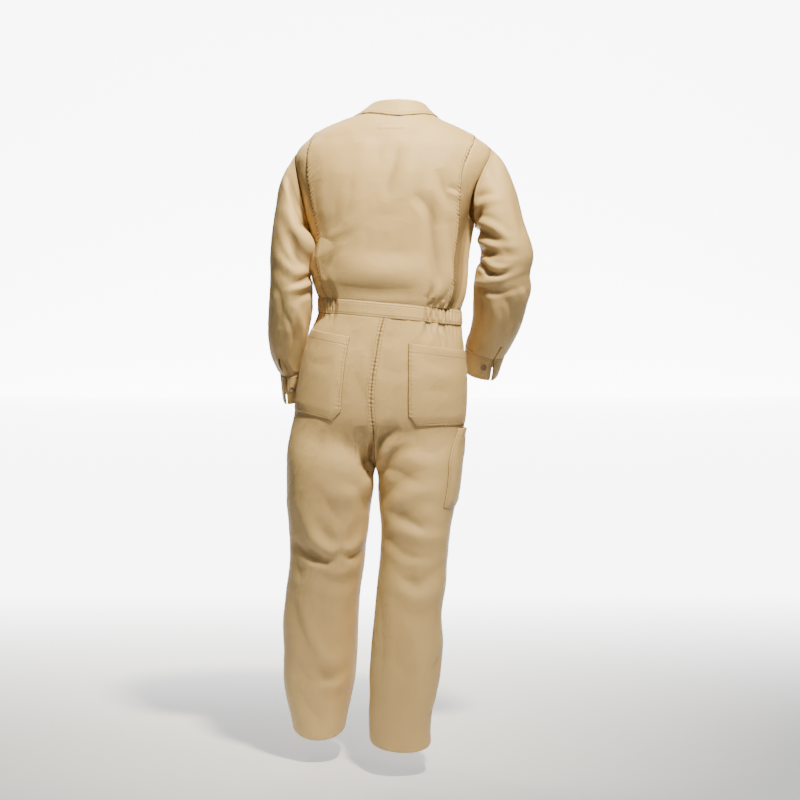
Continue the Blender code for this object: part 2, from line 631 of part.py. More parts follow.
def buildWaistband():
    """Three band pieces; the elastic at the sides gathers into small upright waves."""
    parts = {"back": np.linspace(elasticStart["right"], elasticStart["left"], 11)}
    for side in ("left", "right"):
        sign = 1 if side == "left" else -1
        gathered = np.linspace(elasticStart[side], elasticEnd * sign, 2 * gatherCount + 1)
        plain = np.linspace(elasticEnd * sign, frontEdgeAngle(side, waistHeight), 9)[1:]
        parts[side] = np.concatenate([gathered, plain])
    for name, angles in parts.items():
        share = np.array((-1.0, -0.55, 0.0, 0.55, 1.0))[:, None]
        height = waistMiddle(angles)[None] + share * bandHalf
        angle = np.broadcast_to(angles[None], height.shape)
        normals = formNormals(torso, angle, height, -1)
        wave = np.zeros(len(angles))
        if name != "back":
            wave[1:2 * gatherCount:2] = gatherLift
        lift = torsoRelief(angle, height) + wave[None] * (1 - share ** 2)
        cloth("waistband_" + name, torso(angle, height) + normals * lift[..., None], normals, twill)


def rowHeight(centre, flank, around):
    return centre + (flank - centre) * np.sin(np.radians(around) / 2)


def hemHeight(side, around):
    inner, back, outer, front = hems[side]
    turn = np.radians(around)
    level = inner * np.cos(turn / 2) ** 2 + outer * np.sin(turn / 2) ** 2
    faced = np.where(np.sin(turn) > 0, back, front)
    return level + (faced - (inner + outer) / 2) * np.abs(np.sin(turn))


def legGrid(side, lines):
    """Ring angles and heights of a trouser panel's grid: rows from the waist to the hem."""
    lines = np.asarray(lines, float)
    top = waistMiddle(seatAngle(side, lines, waistHeight - bandHalf)) - bandHalf
    rows = [top]
    rows += [rowHeight(centre, flank, lines) for centre, flank in legRows[side]]
    rows.append(hemHeight(side, lines))
    height = np.array(rows)
    around = np.broadcast_to(lines[None], height.shape).copy()
    if lines[-1] == 360.0:
        fade = smoothStep((height[:, -1] - flyEnd + flyClose) / flyClose)
        perDegree = (90 + bodyTurn(waistHeight)) / 180 if side == "left" else (90 - bodyTurn(waistHeight)) / 180
        around[:, -1] -= zipAngle(height[:, -1]) / perDegree * fade
        height[0] = waistMiddle(seatAngle(side, around[0], height[0])) - bandHalf
    return around, height


def legSurface(side, around, height):
    """Points and outward normals of a leg grid; the two halves share their normals at the seat seam."""
    sign = {"left": -1, "right": 1}

    def normalsOf(which):
        return formNormals(lambda a, h: leg(which, a, h), around, height, sign[which])

    normals = normalsOf(side)
    atSeam = ((around < 1) | (around > 359)) & (height > crotch + 0.001)
    both = normalsOf("left") + normalsOf("right")
    both = both / np.linalg.norm(both, axis=-1, keepdims=True)
    normals = np.where(atSeam[..., None], both, normals)
    atFork = ((around < 1) | (around > 359)) & (np.abs(height - crotch) <= 0.001)
    normals = np.where(atFork[..., None], np.array((0.0, 0.0, -1.0)), normals)
    lift = foldLift(legFolds[side], around, height, math.radians(1) * foldRadius["leg"])
    high = smoothStep((height - crotch) / 0.06)
    seatLift = torsoRelief(seatAngle(side, around, height), height)
    near = smoothStep(np.minimum(around, 360 - around) / 25) * (1 - high) + high
    points = leg(side, around, height) + normals * (lift * near + seatLift * high)[..., None]
    return points, normals


def buildTrousers():
    for side in ("left", "right"):
        for name, lines in (("back", backLines), ("front", frontLines)):
            around, height = legGrid(side, lines)
            points, normals = legSurface(side, around, height)
            cloth("trouser_" + name + "_" + side, points, normals, twill)
        buildBackPocket(side)
    buildRulePocket()
    for side in ("left", "right"):
        buildWelt(side)


def pocketWall(name, side, lines, rows, mitre):
    """A patch pocket: the panel's own points inside its edges, moved out; the last row is mitred in."""
    around, height = legGrid(side, backLines)
    first = backLines.index(lines[0])
    last = backLines.index(lines[1])
    points, normals = legSurface(side, around, height)
    points = points[rows[0]:rows[1] + 1, first:last + 1].copy()
    normals = normals[rows[0]:rows[1] + 1, first:last + 1]
    inset = points[-1, :1] + (points[-1, 1:2] - points[-1, :1]) * mitre
    outset = points[-1, -1:] + (points[-1, -2:-1] - points[-1, -1:]) * mitre
    points[-1, :1] = inset
    points[-1, -1:] = outset
    return cloth(name, points, normals, twill, low=wall + seamGap, high=2 * wall + seamGap)


def buildBackPocket(side):
    pocketWall("back_pocket_" + side, side, pocketLines, pocketRows[side], 0.5)


def buildRulePocket():
    pocketWall("rule_pocket", "right", rulePocketLines, rulePocketRows, 0.0)


def buildWelt(side):
    """A slanted welt on the front, from near the waistband down to the side seam."""
    share = np.linspace(0, 1, 9)[:, None]
    across = np.linspace(-0.5, 0.5, 2)[None]
    around = welt["topAround"] + (welt["endAround"] - welt["topAround"]) * share + welt["turn"] * across
    height = welt["top"] + (welt["end"] - welt["top"]) * share + welt["width"] * across
    points, normals = legSurface(side, around, height)
    low = wall + welt["clear"]
    cloth("front_pocket_" + side, points, normals, twill, low=low, high=low + wall)


def lyingOn(across, depth, lift):
    """Points lifted off the torso at places seen from above, with the normals there."""
    angle, height = onTorso(across, depth)
    normals = formNormals(torso, angle, height, -1)
    return torso(angle, height) + normals * lift, normals


def buildCollar():
    """One strip: up the stand, over the fold and down the fall."""
    turns = neckTurns()
    spread = turns * (1 - collarSpread * smoothStep((np.abs(turns) - 90) / 90))
    base, _ = lyingOn(*ovalPlace(neckOval, turns), collarLap)
    turn = np.radians(turns)
    depth = np.where(np.cos(turn) > 0, collarFold["back"], -collarFold["front"])
    fold = np.stack([collarFold["across"] * np.sin(turn), depth * np.cos(turn),
                     column(collarLine, "fold", np.abs(turns), "angle")], axis=-1)
    out = np.stack([np.sin(turn), np.cos(turn), 0 * turn], axis=-1)
    up = np.array((0.0, 0.0, 1.0))
    rise = fold - base
    rise = rise / np.linalg.norm(rise, axis=-1, keepdims=True)
    off = out * rise[:, 2:3] - up * (rise * out).sum(axis=-1, keepdims=True)
    off = off / np.linalg.norm(off, axis=-1, keepdims=True)
    start = fold + off * collarTurn - rise * collarRound["reach"]
    lead = rise * collarRound["lead"]
    inset = collarRound["inset"]

    def fall(share):
        """A row of the fall: leaves the fold and comes to lie just above the bodice."""
        inner = np.array(ovalPlace(neckOval, turns))
        outer = np.array(ovalPlace(collarOval, spread))
        lying, _ = lyingOn(*(inner + (outer - inner) * share), collarClear)
        rest = smoothStep(share / collarRest)
        return start * (1 - rest) + lying * rest + out * collarBelly * math.sin(math.pi * share)

    rows = [base, base + (fold - base) * 0.5, fold - rise * collarRound["reach"], fold + off * inset - lead,
            fold + off * (collarTurn - inset) - lead, start, fall(0.25), fall(0.5), fall(0.75), fall(1.0)]
    points = np.array(rows)
    alongAngle = np.gradient(points, axis=1)
    alongRow = np.gradient(points, axis=0)
    normals = np.cross(alongAngle, alongRow)
    normals = normals / np.linalg.norm(normals, axis=-1, keepdims=True)
    cloth("collar", points, normals, twill)


def sleeveSurface(side, around, station):
    around, station = np.broadcast_arrays(np.asarray(around, float), np.asarray(station, float))
    sign = -1 if side == "left" else 1

    def form(angle, along):
        return sleeve(side, angle, along)

    normals = formNormals(form, around, np.maximum(station, 0.02), sign, 0.5, 0.015)
    fade = smoothStep(station / 0.8) * smoothStep((cuffSeam[side] - station) / 0.5)
    lift = foldLift(sleeveFolds[side], around % 360, station, 1 / 45) * fade
    return sleeve(side, around, station) + normals * lift[..., None], normals


def buildSleeve(side):
    """One strip round the arm from the underarm seam, with the slit cut up from the cuff."""
    end = cuffSeam[side]
    front = np.linspace(180, 360, armholeCells + 1)
    back = np.array((382.5, 402.0, 360 + slitAngle - slitHalf, 360 + slitAngle + slitHalf,
                     441.0, 461.0, 481.0, 501.0, 521.0, 540.0))
    lines = np.concatenate([front, back])
    first = np.array((0.0, 0.15, 0.35, 0.6, 0.9, 1.2, 1.6))
    stations = np.concatenate([first, np.linspace(2.0, end, 2 * end)])
    points, normals = sleeveSurface(side, lines[None], stations[:, None])
    skip = np.zeros((len(stations) - 1, len(lines) - 1), bool)
    skip[stations[:-1] > end - slitStations, armholeCells + 2] = True
    cloth("sleeve_" + side, points, normals, twill, skip=skip)


def cuffSurface(side, around, share):
    """A cuff left unfastened: its two ends stand off a little; share runs from the seam to the edge."""
    around, share = np.broadcast_arrays(np.asarray(around, float), np.asarray(share, float))
    points, normals = sleeveSurface(side, around, cuffSeam[side] + share)
    first = np.exp(-((around - slitAngle) / 26) ** 2)
    last = np.exp(-((around - 360 - slitAngle) / 26) ** 2)
    stand = cuffStand["upper"] * last + cuffStand["under"] * first
    return points + normals * (stand * smoothStep(share * 1.4))[..., None], normals


def buildCuff(side):
    lines = np.linspace(slitAngle + slitHalf, 360 + slitAngle - slitHalf, 19)
    share = np.linspace(0, 1, 5)[:, None]
    points, normals = cuffSurface(side, lines[None], share)
    cloth("cuff_" + side, points, normals, twill)
    place, out = cuffSurface(side, lines[1:2], np.array((0.5,)))
    mesh = bmesh.new()
    bmesh.ops.create_cone(mesh, cap_ends=True, segments=20, radius1=button["radius"], radius2=button["radius"],
                          depth=button["thick"])
    rims = [edge for edge in mesh.edges if len({round(v.co.z, 5) for v in edge.verts}) == 1]
    bmesh.ops.bevel(mesh, geom=rims, offset=button["bevel"], affect="EDGES", segments=1, profile=0.5)
    part = addPart("cuff_button_" + side, mesh, horn)
    middle = place[0] + out[0] * (wall + seamGap + button["thick"] / 2)
    part.location = (middle[0], middle[1], middle[2] - neckHeight)
    part.rotation_euler = Vector(out[0]).to_track_quat("Z", "Y").to_euler()


def zipSurface(offset, height):
    """Points and normals down the centre front, at signed distances from it (left is positive)."""
    half = (column(torsoRings, "left", height) - column(torsoRings, "right", height)) / 2
    turn = bodyTurn(height)
    side = "left" if offset >= 0 else "right"
    perDegree = (90 + turn) / 180 if side == "left" else (90 - turn) / 180
    around = 360 - np.degrees(abs(offset) / half) / perDegree
    return legSurface(side, around, height)


def buildZip():
    top = onTorso(*ovalPlace(neckOval, np.array((180.0,))))[1][0] - zipInset
    height = np.linspace(top, flyEnd + zipInset, zipRows + 1)
    offsets = list(zipColumns) + [0.0] + [-offset for offset in zipColumns[::-1]]
    sides = [zipSurface(offset, height) for offset in offsets]
    points = np.stack([points for points, _ in sides], axis=1)
    normals = np.stack([normals for _, normals in sides], axis=1)
    chain = np.array([chainLift if abs(offset) <= zipColumns[2] else 0.0 for offset in offsets])
    points = points + normals * (chain[None] - zipSink - wall)[..., None]
    cloth("zip_tape", points, normals, zipCloth)
    buildSlider(height)


def box(mesh, low, high):
    """A box between two corners in the slider's own frame: across, out and up."""
    size = [b - a for a, b in zip(low, high)]
    middle = [(a + b) / 2 for a, b in zip(low, high)]
    shift = Matrix.Translation(middle) @ Matrix.Diagonal((*size, 1.0))
    bmesh.ops.create_cube(mesh, size=1.0, matrix=shift)


def joined(name, boxes, finish):
    """Boxes in the slider's frame made one body by Boolean unions."""
    parts = []
    for index, (low, high) in enumerate(boxes):
        mesh = bmesh.new()
        box(mesh, low, high)
        part = addPart(name if index == 0 else name + "_join", mesh, finish)
        parts.append(part)
    body = parts[0]
    for other in parts[1:]:
        union = body.modifiers.new("join", "BOOLEAN")
        union.operation = "UNION"
        union.object = other
        suit.objects.unlink(other)
        cutters.objects.link(other)
        other.hide_render = True
        other.display_type = "WIRE"
    return body, parts


def buildSlider(rows):
    """Slider body with its bridge, and the pull tab whose top bar lies in the bridge."""
    cell = np.argmin(np.abs((rows[:-1] + rows[1:]) / 2 - sliderHeight))
    ends = np.array((rows[cell], rows[cell + 1]))
    points, normals = zipSurface(0.0, ends)
    up = Vector(points[0] - points[1]).normalized()
    out = Vector(normals.mean(axis=0)).normalized()
    across = up.cross(out).normalized()
    out = across.cross(up).normalized()
    face = chainLift - zipSink + slider["clear"]
    middle = Vector(points.mean(axis=0) - np.array((0.0, 0.0, neckHeight))) + out * face
    frame = Matrix((across, out, up)).transposed().to_4x4()
    frame.translation = middle
    half = slider["wide"] / 2
    tall = slider["tall"] / 2
    thick = slider["thick"]
    arch = bridge["wide"] / 2
    rise = thick + bridge["rise"]
    _, parts = joined("zip_slider", (
        ((-half, 0.0, -tall), (half, thick, tall)),
        ((-arch, thick - 0.001, bridge["low"]), (arch, rise, bridge["low"] + bridge["post"])),
        ((-arch, thick - 0.001, bridge["high"] - bridge["post"]), (arch, rise, bridge["high"])),
        ((-arch + 0.0001, rise - bridge["top"], bridge["low"] + 0.0001),
         (arch - 0.0001, rise - 0.0001, bridge["high"] - 0.0001)),
    ), brass)
    for part in parts:
        part.matrix_world = frame
    hingeUp = bridge["low"] + bridge["post"] + seamGap + pull["bar"] / 2
    hingeOut = thick + (bridge["rise"] - bridge["top"]) / 2
    wide = pull["wide"] / 2
    hole = pull["hole"] / 2
    flat = pull["thick"] / 2
    bar = pull["bar"] / 2
    _, parts = joined("zip_pull", (
        ((-wide, -flat, -pull["reach"]), (wide, flat, -pull["holeReach"])),
        ((-wide + 0.0001, -flat + 0.0001, -pull["holeReach"] - 0.001), (-hole, flat - 0.0001, 0.0003)),
        ((hole, -flat + 0.0001, -pull["holeReach"] - 0.001), (wide - 0.0001, flat - 0.0001, 0.0003)),
        ((-wide, -bar, -bar), (wide, bar, bar)),
    ), brass)
    hinge = frame.copy()
    hinge.translation = frame @ Vector((0.0, hingeOut, hingeUp))
    for part in parts:
        part.matrix_world = hinge


def makeFinish(name, color, roughness, metallic=0.0):
    finish = bpy.data.materials.new(name)
    finish.use_nodes = True
    shader = finish.node_tree.nodes["Principled BSDF"]
    shader.inputs["Base Color"].default_value = (*color, 1.0)
    shader.inputs["Roughness"].default_value = roughness
    shader.inputs["Metallic"].default_value = metallic
    return finish


def makeCollection(name):
    made = bpy.data.collections.new(name)
    bpy.context.scene.collection.children.link(made)
    return made


for existing in list(bpy.data.objects):
    bpy.data.objects.remove(existing, do_unlink=True)
suit = makeCollection("boiler_suit")
cutters = makeCollection("cutters")
cutters.hide_render = True
twill = makeFinish("khaki_twill", (0.58, 0.44, 0.27), 0.62)
zipCloth = makeFinish("zip_tape", (0.50, 0.38, 0.23), 0.70)
brass = makeFinish("brass", (0.55, 0.42, 0.20), 0.35, 1.0)
horn = makeFinish("button", (0.36, 0.26, 0.15), 0.45)

buildBodice()
buildCollar()
buildWaistband()
buildTrousers()
for armSide in ("left", "right"):
    buildSleeve(armSide)
    buildCuff(armSide)
buildZip()
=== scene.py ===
import math

import bmesh
import bpy
import numpy as np
from mathutils import Matrix, Vector


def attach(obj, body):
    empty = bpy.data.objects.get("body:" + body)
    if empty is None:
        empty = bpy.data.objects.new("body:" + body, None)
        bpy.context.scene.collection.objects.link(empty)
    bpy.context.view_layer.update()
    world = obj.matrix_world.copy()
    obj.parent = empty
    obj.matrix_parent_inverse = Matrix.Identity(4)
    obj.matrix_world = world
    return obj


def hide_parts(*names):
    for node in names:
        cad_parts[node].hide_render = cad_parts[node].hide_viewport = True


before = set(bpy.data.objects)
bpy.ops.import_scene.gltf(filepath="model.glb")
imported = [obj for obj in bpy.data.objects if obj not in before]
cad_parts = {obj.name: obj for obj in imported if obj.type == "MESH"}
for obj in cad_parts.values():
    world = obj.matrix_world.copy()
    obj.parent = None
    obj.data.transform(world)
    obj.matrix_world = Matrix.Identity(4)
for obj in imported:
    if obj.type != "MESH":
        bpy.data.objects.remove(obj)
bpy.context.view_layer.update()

# The suit's own sizes, in metres; heights in the tables are above the floor, the neck is the origin.
size = {
    "neckHeight": 1.585,
    "wall": 0.0016,
    "cloth": 0.0011,  # what the thin shells measure
    "waistHeight": 1.1108,
    "waistTilt": 0.0163,
    "bandHalf": 0.0185,
    "forkTop": 0.860,
    "crotch": 0.735,
    "forkSpread": 80.0,
    "ringPower": 2.3,
    "zipHalf": 0.006,
    "flyEnd": 0.800,
    "flyClose": 0.030,
}


def metres(table):
    return {name: tuple(value / 1000 for value in values) for name, values in table.items()}


# The rings of torso, legs and sleeves, in millimetres.
torsoRings = metres({
    "height": (1612, 1600, 1590, 1572, 1555, 1540, 1526, 1508, 1490, 1450, 1400, 1350, 1300, 1270, 1240, 1200, 1150,
               1110, 1060, 1000, 940, 880, 820, 760, 700),
    "left": (70, 76, 86, 135, 176, 201, 217, 236, 246, 248, 240, 227, 211.5, 207, 204, 199, 194, 193.5, 212, 229,
             240, 249, 257, 265, 270),
    "right": (-68, -72, -80, -109, -147, -175, -196, -219, -228, -225, -209, -193, -180, -174, -168, -161, -155,
              -152.5, -156, -162, -166, -165, -160, -155, -150),
    "back": (55, 62, 70, 84, 95, 103, 109, 116, 121, 130, 134, 134, 130, 127, 123, 119, 117, 118, 124, 131, 135, 133,
             126, 118, 112),
    "front": (-46, -52, -58, -66, -75, -84, -93, -103, -111, -126, -140, -147, -148, -147, -145, -141, -136, -134,
              -134, -134, -131, -124, -115, -108, -104),
})
turnOfBody = {
    "height": (1.60, 1.45, 1.12, 1.00, 0.90, 0.80, 0.72),
    "turn": (0.0, 6.0, 9.0, 8.0, 6.3, 2.0, 0.0),
}
pleatLines = {
    "left": {
        "height": (1.541, 1.532, 1.517, 1.490, 1.440, 1.380, 1.300, 1.200, 1.125),
        "angle": (90.0, 73.0, 63.0, 57.5, 56.5, 57.0, 58.0, 60.0, 62.0),
    },
    "right": {
        "height": (1.537, 1.527, 1.508, 1.480, 1.445, 1.408, 1.370, 1.315, 1.220, 1.090),
        "angle": (90.0, 68.0, 52.0, 44.5, 42.0, 43.5, 45.5, 48.5, 49.0, 51.0),
    },
}
armholes = {
    "left": {"top": 1.492, "under": 1.292, "backReach": 18.0, "frontReach": 21.0},
    "right": {"top": 1.508, "under": 1.318, "backReach": 32.0, "frontReach": 17.0},
}
legRings = {
    "left": metres({
        "height": (735, 712, 676, 640, 570, 490, 420, 345, 270, 195, 145, 95, 50),
        "inner": (54.3, 60, 61.5, 67, 77, 84.5, 94.5, 99.5, 102, 109, 119, 130, 136),
        "outer": (270.5, 270.5, 271, 271, 266.5, 266, 276, 283, 281.5, 283, 276, 265, 258),
        "middle": (6, 4.5, 1, -2, -10, -20, -30, -40, -48, -56, -60, -63, -65),
        "depth": (112, 112, 111, 109, 104, 99, 94, 91, 88, 86, 85, 84, 83),
    }),
    "right": metres({
        "height": (735, 712, 685, 658, 586, 515, 443, 371, 299, 227, 179, 131, 60),
        "inner": (53.7, 46.2, 47.5, 46.5, 40, 42.5, 50, 56.5, 63.5, 67, 67, 69, 67),
        "outer": (-151.5, -149.5, -146.5, -141.4, -127.5, -120, -115, -104.5, -108.5, -101, -91.5, -80, -78),
        "middle": (10.5, 11.5, 13, 16, 26, 36, 46, 55, 62, 68, 72, 75, 78),
        "depth": (112, 112, 112, 110, 104, 98, 93, 90, 87, 85, 83, 82, 81),
    }),
}
hems = {"left": (0.087, 0.056, 0.087, 0.104), "right": (0.080, 0.058, 0.071, 0.094)}
sleeveRings = {
    "left": metres({
        "outerX": (246, 282, 295.5, 306, 311, 311, 315.5, 318.5, 313, 300.5, 291, 285),
        "outerZ": (1492, 1432, 1370, 1305, 1240, 1180, 1115, 1056, 1008, 974, 957.5, 892),
        "innerX": (210.5, 221, 217.5, 214, 211, 209, 211.5, 220, 229, 233.5, 235.5, 233.5),
        "innerZ": (1292, 1279, 1250, 1216, 1180, 1140, 1100, 1060, 1020, 987, 969.5, 903),
        "middle": (-2, 0, 4, 8, 10, 6, -10, -30, -50, -64, -70, -90),
        "depth": (88, 87, 84, 78, 72, 69, 66, 62, 57, 52, 47, 47),
    }),
    "right": metres({
        "outerX": (-219, -259, -286, -306, -327.5, -320.5, -323.5, -312, -299, -282.5, -270, -262.5, -247),
        "outerZ": (1508, 1464, 1402, 1325, 1252, 1203, 1165, 1122, 1075, 1036, 1013, 1003, 955),
        "innerX": (-183.5, -198, -198, -199, -203.5, -191, -186, -185, -184, -178.5, -172, -170, -167.5),
        "innerZ": (1318, 1308, 1290, 1270, 1245, 1208, 1176, 1138, 1100, 1064, 1041, 1030, 968),
        "middle": (6, 10, 16, 24, 30, 26, 16, 0, -20, -42, -54, -60, -83),
        "depth": (90, 88, 85, 79, 73, 68, 67, 64, 60, 54, 49, 46, 46),
    }),
}
cuffSeam = {"left": 10, "right": 11}
capStations = 2.5
signs = {"left": 1, "right": -1}  # of x on each side
otherSide = {"left": "right", "right": "left"}
flatCount = 60  # places along a side seam before they are spread evenly


def smoothStep(t):
    t = np.clip(t, 0, 1)
    return t * t * (3 - 2 * t)


def curveThrough(knots, values, at):
    order = np.argsort(knots)
    knots = np.asarray(knots, float)[order]
    values = np.asarray(values, float)[order]
    steps = np.diff(knots)
    rises = np.diff(values) / steps
    middle = (rises[:-1] * steps[1:] + rises[1:] * steps[:-1]) / (steps[1:] + steps[:-1])
    slopes = np.concatenate([rises[:1], middle, rises[-1:]])
    at = np.clip(np.asarray(at, float), knots[0], knots[-1])
    cell = np.clip(np.searchsorted(knots, at, side="right") - 1, 0, len(steps) - 1)
    t = (at - knots[cell]) / steps[cell]
    start = values[cell] * (1 + 2 * t) * (1 - t) ** 2 + slopes[cell] * steps[cell] * t * (1 - t) ** 2
    end = values[cell + 1] * t * t * (3 - 2 * t) - slopes[cell + 1] * steps[cell] * t * t * (1 - t)
    return start + end


def column(table, name, at, by="height"):
    return curveThrough(table[by], table[name], at)


def pair(first, second):
    return np.stack(np.broadcast_arrays(first, second), axis=-1)


def unit(vectors):
    return vectors / np.maximum(np.linalg.norm(vectors, axis=-1, keepdims=True), 1e-12)


def ringPoints(centreX, halfX, centreY, halfY, height, across, along):
    power = size["ringPower"]
    reach = (np.abs(across) ** power + np.abs(along) ** power) ** (-1 / power)
    return np.stack([centreX + halfX * reach * across, centreY + halfY * reach * along, height + 0 * across], axis=-1)


# The torso's ring at a height: its middle and half width, then its middle and half depth.
def torsoRing(height):
    left, right, back, front = (column(torsoRings, name, height) for name in ("left", "right", "back", "front"))
    return (left + right) / 2, (left - right) / 2, (back + front) / 2, (back - front) / 2


# Torso and seat; the angle runs from the centre back to the wearer's left, in degrees.
def torso(angle, height):
    turn = np.radians(angle)
    return ringPoints(*torsoRing(height), height, np.sin(turn), np.cos(turn))


def bodyTurn(height):
    return column(turnOfBody, "turn", height)


def seatAngle(side, around, height):
    turn = bodyTurn(height)
    flank, front, share = 90.0 * signs[side], 180.0 * signs[side] + turn, around / 180.0
    return np.where(share <= 1, turn + (flank - turn) * share, flank + (front - flank) * (share - 1))


# One leg with its half of the seat; around runs from the inseam by the back.
def leg(side, around, height):
    inner, outer, middle, depth = (column(legRings[side], name, height)
                                   for name in ("inner", "outer", "middle", "depth"))
    turn = np.radians(around)
    tube = ringPoints((inner + outer) / 2, (outer - inner) / 2, middle, depth, height, -np.cos(turn), np.sin(turn))
    seat = torso(seatAngle(side, around, height), height)
    drop = np.clip((size["forkTop"] - height) / (size["forkTop"] - size["crotch"]), 0, 1)
    outward = smoothStep(np.minimum(around, 360 - around) / size["forkSpread"])
    share = (1 - np.sqrt(1 - drop ** 2)) * (1 - outward) + smoothStep(drop) * outward
    return seat * (1 - share[..., None]) + tube * share[..., None]


def armholePoint(side, around):
    hole = armholes[side]
    turn = np.radians(around)
    middle = (hole["top"] + hole["under"]) / 2
    reach = np.where(np.sin(turn) > 0, hole["backReach"], hole["frontReach"])
    return signs[side] * (90 - reach * np.sin(turn)), middle + (hole["top"] - middle) * np.cos(turn)


def armRing(rings, side, around, station):
    stations = np.arange(len(rings["outerX"]))

    def read(name, at):
        return curveThrough(stations, rings[name], at)

    def middle(at):
        return np.stack([(read("outerX", at) + read("innerX", at)) / 2, read("middle", at),
                         (read("outerZ", at) + read("innerZ", at)) / 2], axis=-1)

    half = np.stack([(read("outerX", station) - read("innerX", station)) / 2, 0 * station,
                     (read("outerZ", station) - read("innerZ", station)) / 2], axis=-1)
    axis = middle(np.clip(station + 0.25, 0, stations[-1])) - middle(np.clip(station - 0.25, 0, stations[-1]))
    square = unit(np.cross(half, axis) * signs[side])
    turn = np.radians(around)[..., None]
    return middle(station) + half * np.cos(turn) + square * read("depth", station)[..., None] * np.sin(turn)


# A sleeve starts on the armhole edge and becomes the arm's rings.
def sleeve(side, around, station):
    around, station = np.broadcast_arrays(np.asarray(around, float), np.asarray(station, float))
    angle, height = armholePoint(side, around)
    lap = size["wall"] + 0.0006 + size["wall"] * (1 - np.cos(np.radians(around))) / 2
    edge = torso(angle, height) + formNormals(torso, angle, height, -1) * lap[..., None]
    keep = 1 - smoothStep(station / capStations)[..., None]
    rings = sleeveRings[side]
    return armRing(rings, side, around, station) + (edge - armRing(rings, side, around, 0 * station)) * keep


def formNormals(form, first, second, sign, stepFirst=0.5, stepSecond=0.002):
    alongFirst = form(first + stepFirst, second) - form(first - stepFirst, second)
    alongSecond = form(first, second + stepSecond) - form(first, second - stepSecond)
    return unit(np.cross(alongFirst, alongSecond) * sign)


# Smooth even noise from -1 to 1, one grain to a unit.
def softNoise(u, v, seed):
    lowU, lowV = np.floor(u), np.floor(v)
    shareU, shareV = smoothStep(u - lowU), smoothStep(v - lowV)

    def knot(a, b):
        value = np.sin(a * 127.1 + b * 311.7 + seed * 74.7) * 43758.5453
        return 2 * (value - np.floor(value)) - 1

    near = knot(lowU, lowV) * (1 - shareU) + knot(lowU + 1, lowV) * shareU
    far = knot(lowU, lowV + 1) * (1 - shareU) + knot(lowU + 1, lowV + 1) * shareU
    return near * (1 - shareV) + far * shareV


# Troughs are pinched and ridges round, each with a low bank of the opposite sign on both sides.
creaseShape = {"steps": 14, "reach": 3.2, "lean": 0.6, "trough": 1.35, "ridge": 2.0, "bank": (0.24, 2.0, 0.8),
               "fade": 0.7}


# Creases along curved lines in the plane of x and height. A row has the start, middle and end, half width
# and lift in millimetres, then the lean (-1 to 1, which side is the steeper) and where along it the crease
# is strongest (1 is its middle).
def creases(table, x, z):
    total = np.zeros(x.shape)
    steps = np.linspace(0, 1, creaseShape["steps"] + 1)

    def bent(start, middle, end):
        bend = 2 * middle - (start + end) / 2
        return (1 - steps) ** 2 * start + 2 * steps * (1 - steps) * bend + steps ** 2 * end

    for row in table:
        startX, startZ, middleX, middleZ, endX, endZ, width, lift = (value / 1000 for value in row[:8])
        lean, peak = row[8:]
        lineX, lineZ = bent(startX, middleX, endX), bent(startZ, middleZ, endZ)
        reach = creaseShape["reach"] * width
        near = ((x > lineX.min() - reach) & (x < lineX.max() + reach)
                & (z > lineZ.min() - reach) & (z < lineZ.max() + reach))
        if not near.any():
            continue
        atX, atZ = x[near], z[near]
        best, signed, along = np.full(atX.shape, 9.0), np.zeros(atX.shape), np.zeros(atX.shape)
        for k in range(len(steps) - 1):
            runX, runZ = lineX[k + 1] - lineX[k], lineZ[k + 1] - lineZ[k]
            length = math.hypot(runX, runZ) + 1e-9
            t = np.clip(((atX - lineX[k]) * runX + (atZ - lineZ[k]) * runZ) / length ** 2, 0, 1)
            awayX, awayZ = atX - lineX[k] - t * runX, atZ - lineZ[k] - t * runZ
            distance = np.hypot(awayX, awayZ)
            closer = distance < best
            best = np.where(closer, distance, best)
            side = np.sign(runX * awayZ - runZ * awayX)
            signed = np.where(closer, distance * side, signed)
            along = np.where(closer, (k + t) / (len(steps) - 1), along)
        q = signed / width
        q = q * np.where(q > 0, 1 + creaseShape["lean"] * lean, 1 - creaseShape["lean"] * lean)
        sharp = creaseShape["trough"] if lift < 0 else creaseShape["ridge"]
        depth, away, spread = creaseShape["bank"]
        profile = np.exp(-np.abs(q) ** sharp) - depth * np.exp(-((np.abs(q) - away) / spread) ** 2)
        strength = np.sin(np.pi * np.clip(along, 0.001, 0.999) ** peak) ** creaseShape["fade"]
        total[near] += lift * strength * profile
    return total


# How much a place faces the back (1) or the front (0).
def facing(normals):
    return smoothStep((normals[..., 1] + 0.25) / 0.5)


# Grain across and down and height of the cloth's own unevenness, in metres.
unevenness = {"wander": (0.11, 0.16, 0.03), "broad": (0.045, 0.10, 0.0011), "fine": (0.018, 0.034, 0.0005),
              "ridges": (0.020, 0.045, 0.0005)}


# The relief of a place: creases of the back and the front, and the cloth's own soft unevenness.
def relief(points, normals, back, front, seed, calm=1.0):
    x, z = points[..., 0], points[..., 2]
    share = facing(normals)
    lift = creases(back, x, z) * share + creases(front, x, z) * (1 - share)
    girth = x + points[..., 1] * np.where(normals[..., 0] > 0, -1, 1) * (1 - np.abs(normals[..., 1]))
    look = unevenness
    wander = softNoise(girth / look["wander"][0], z / look["wander"][1], seed + 3) * look["wander"][2]
    wide, long, high = look["broad"]
    lift = lift + high * calm * softNoise((girth + wander) / wide, z / long, seed)
    wide, long, high = look["fine"]
    lift = lift + high * calm * softNoise((girth - wander) / wide, (z + wander) / long, seed + 1)
    wide, long, high = look["ridges"]
    fold = np.abs(softNoise((girth + 0.6 * z) / wide, (z - 0.5 * girth) / long, seed + 2))
    return lift + high * calm * (1 - fold) ** 3


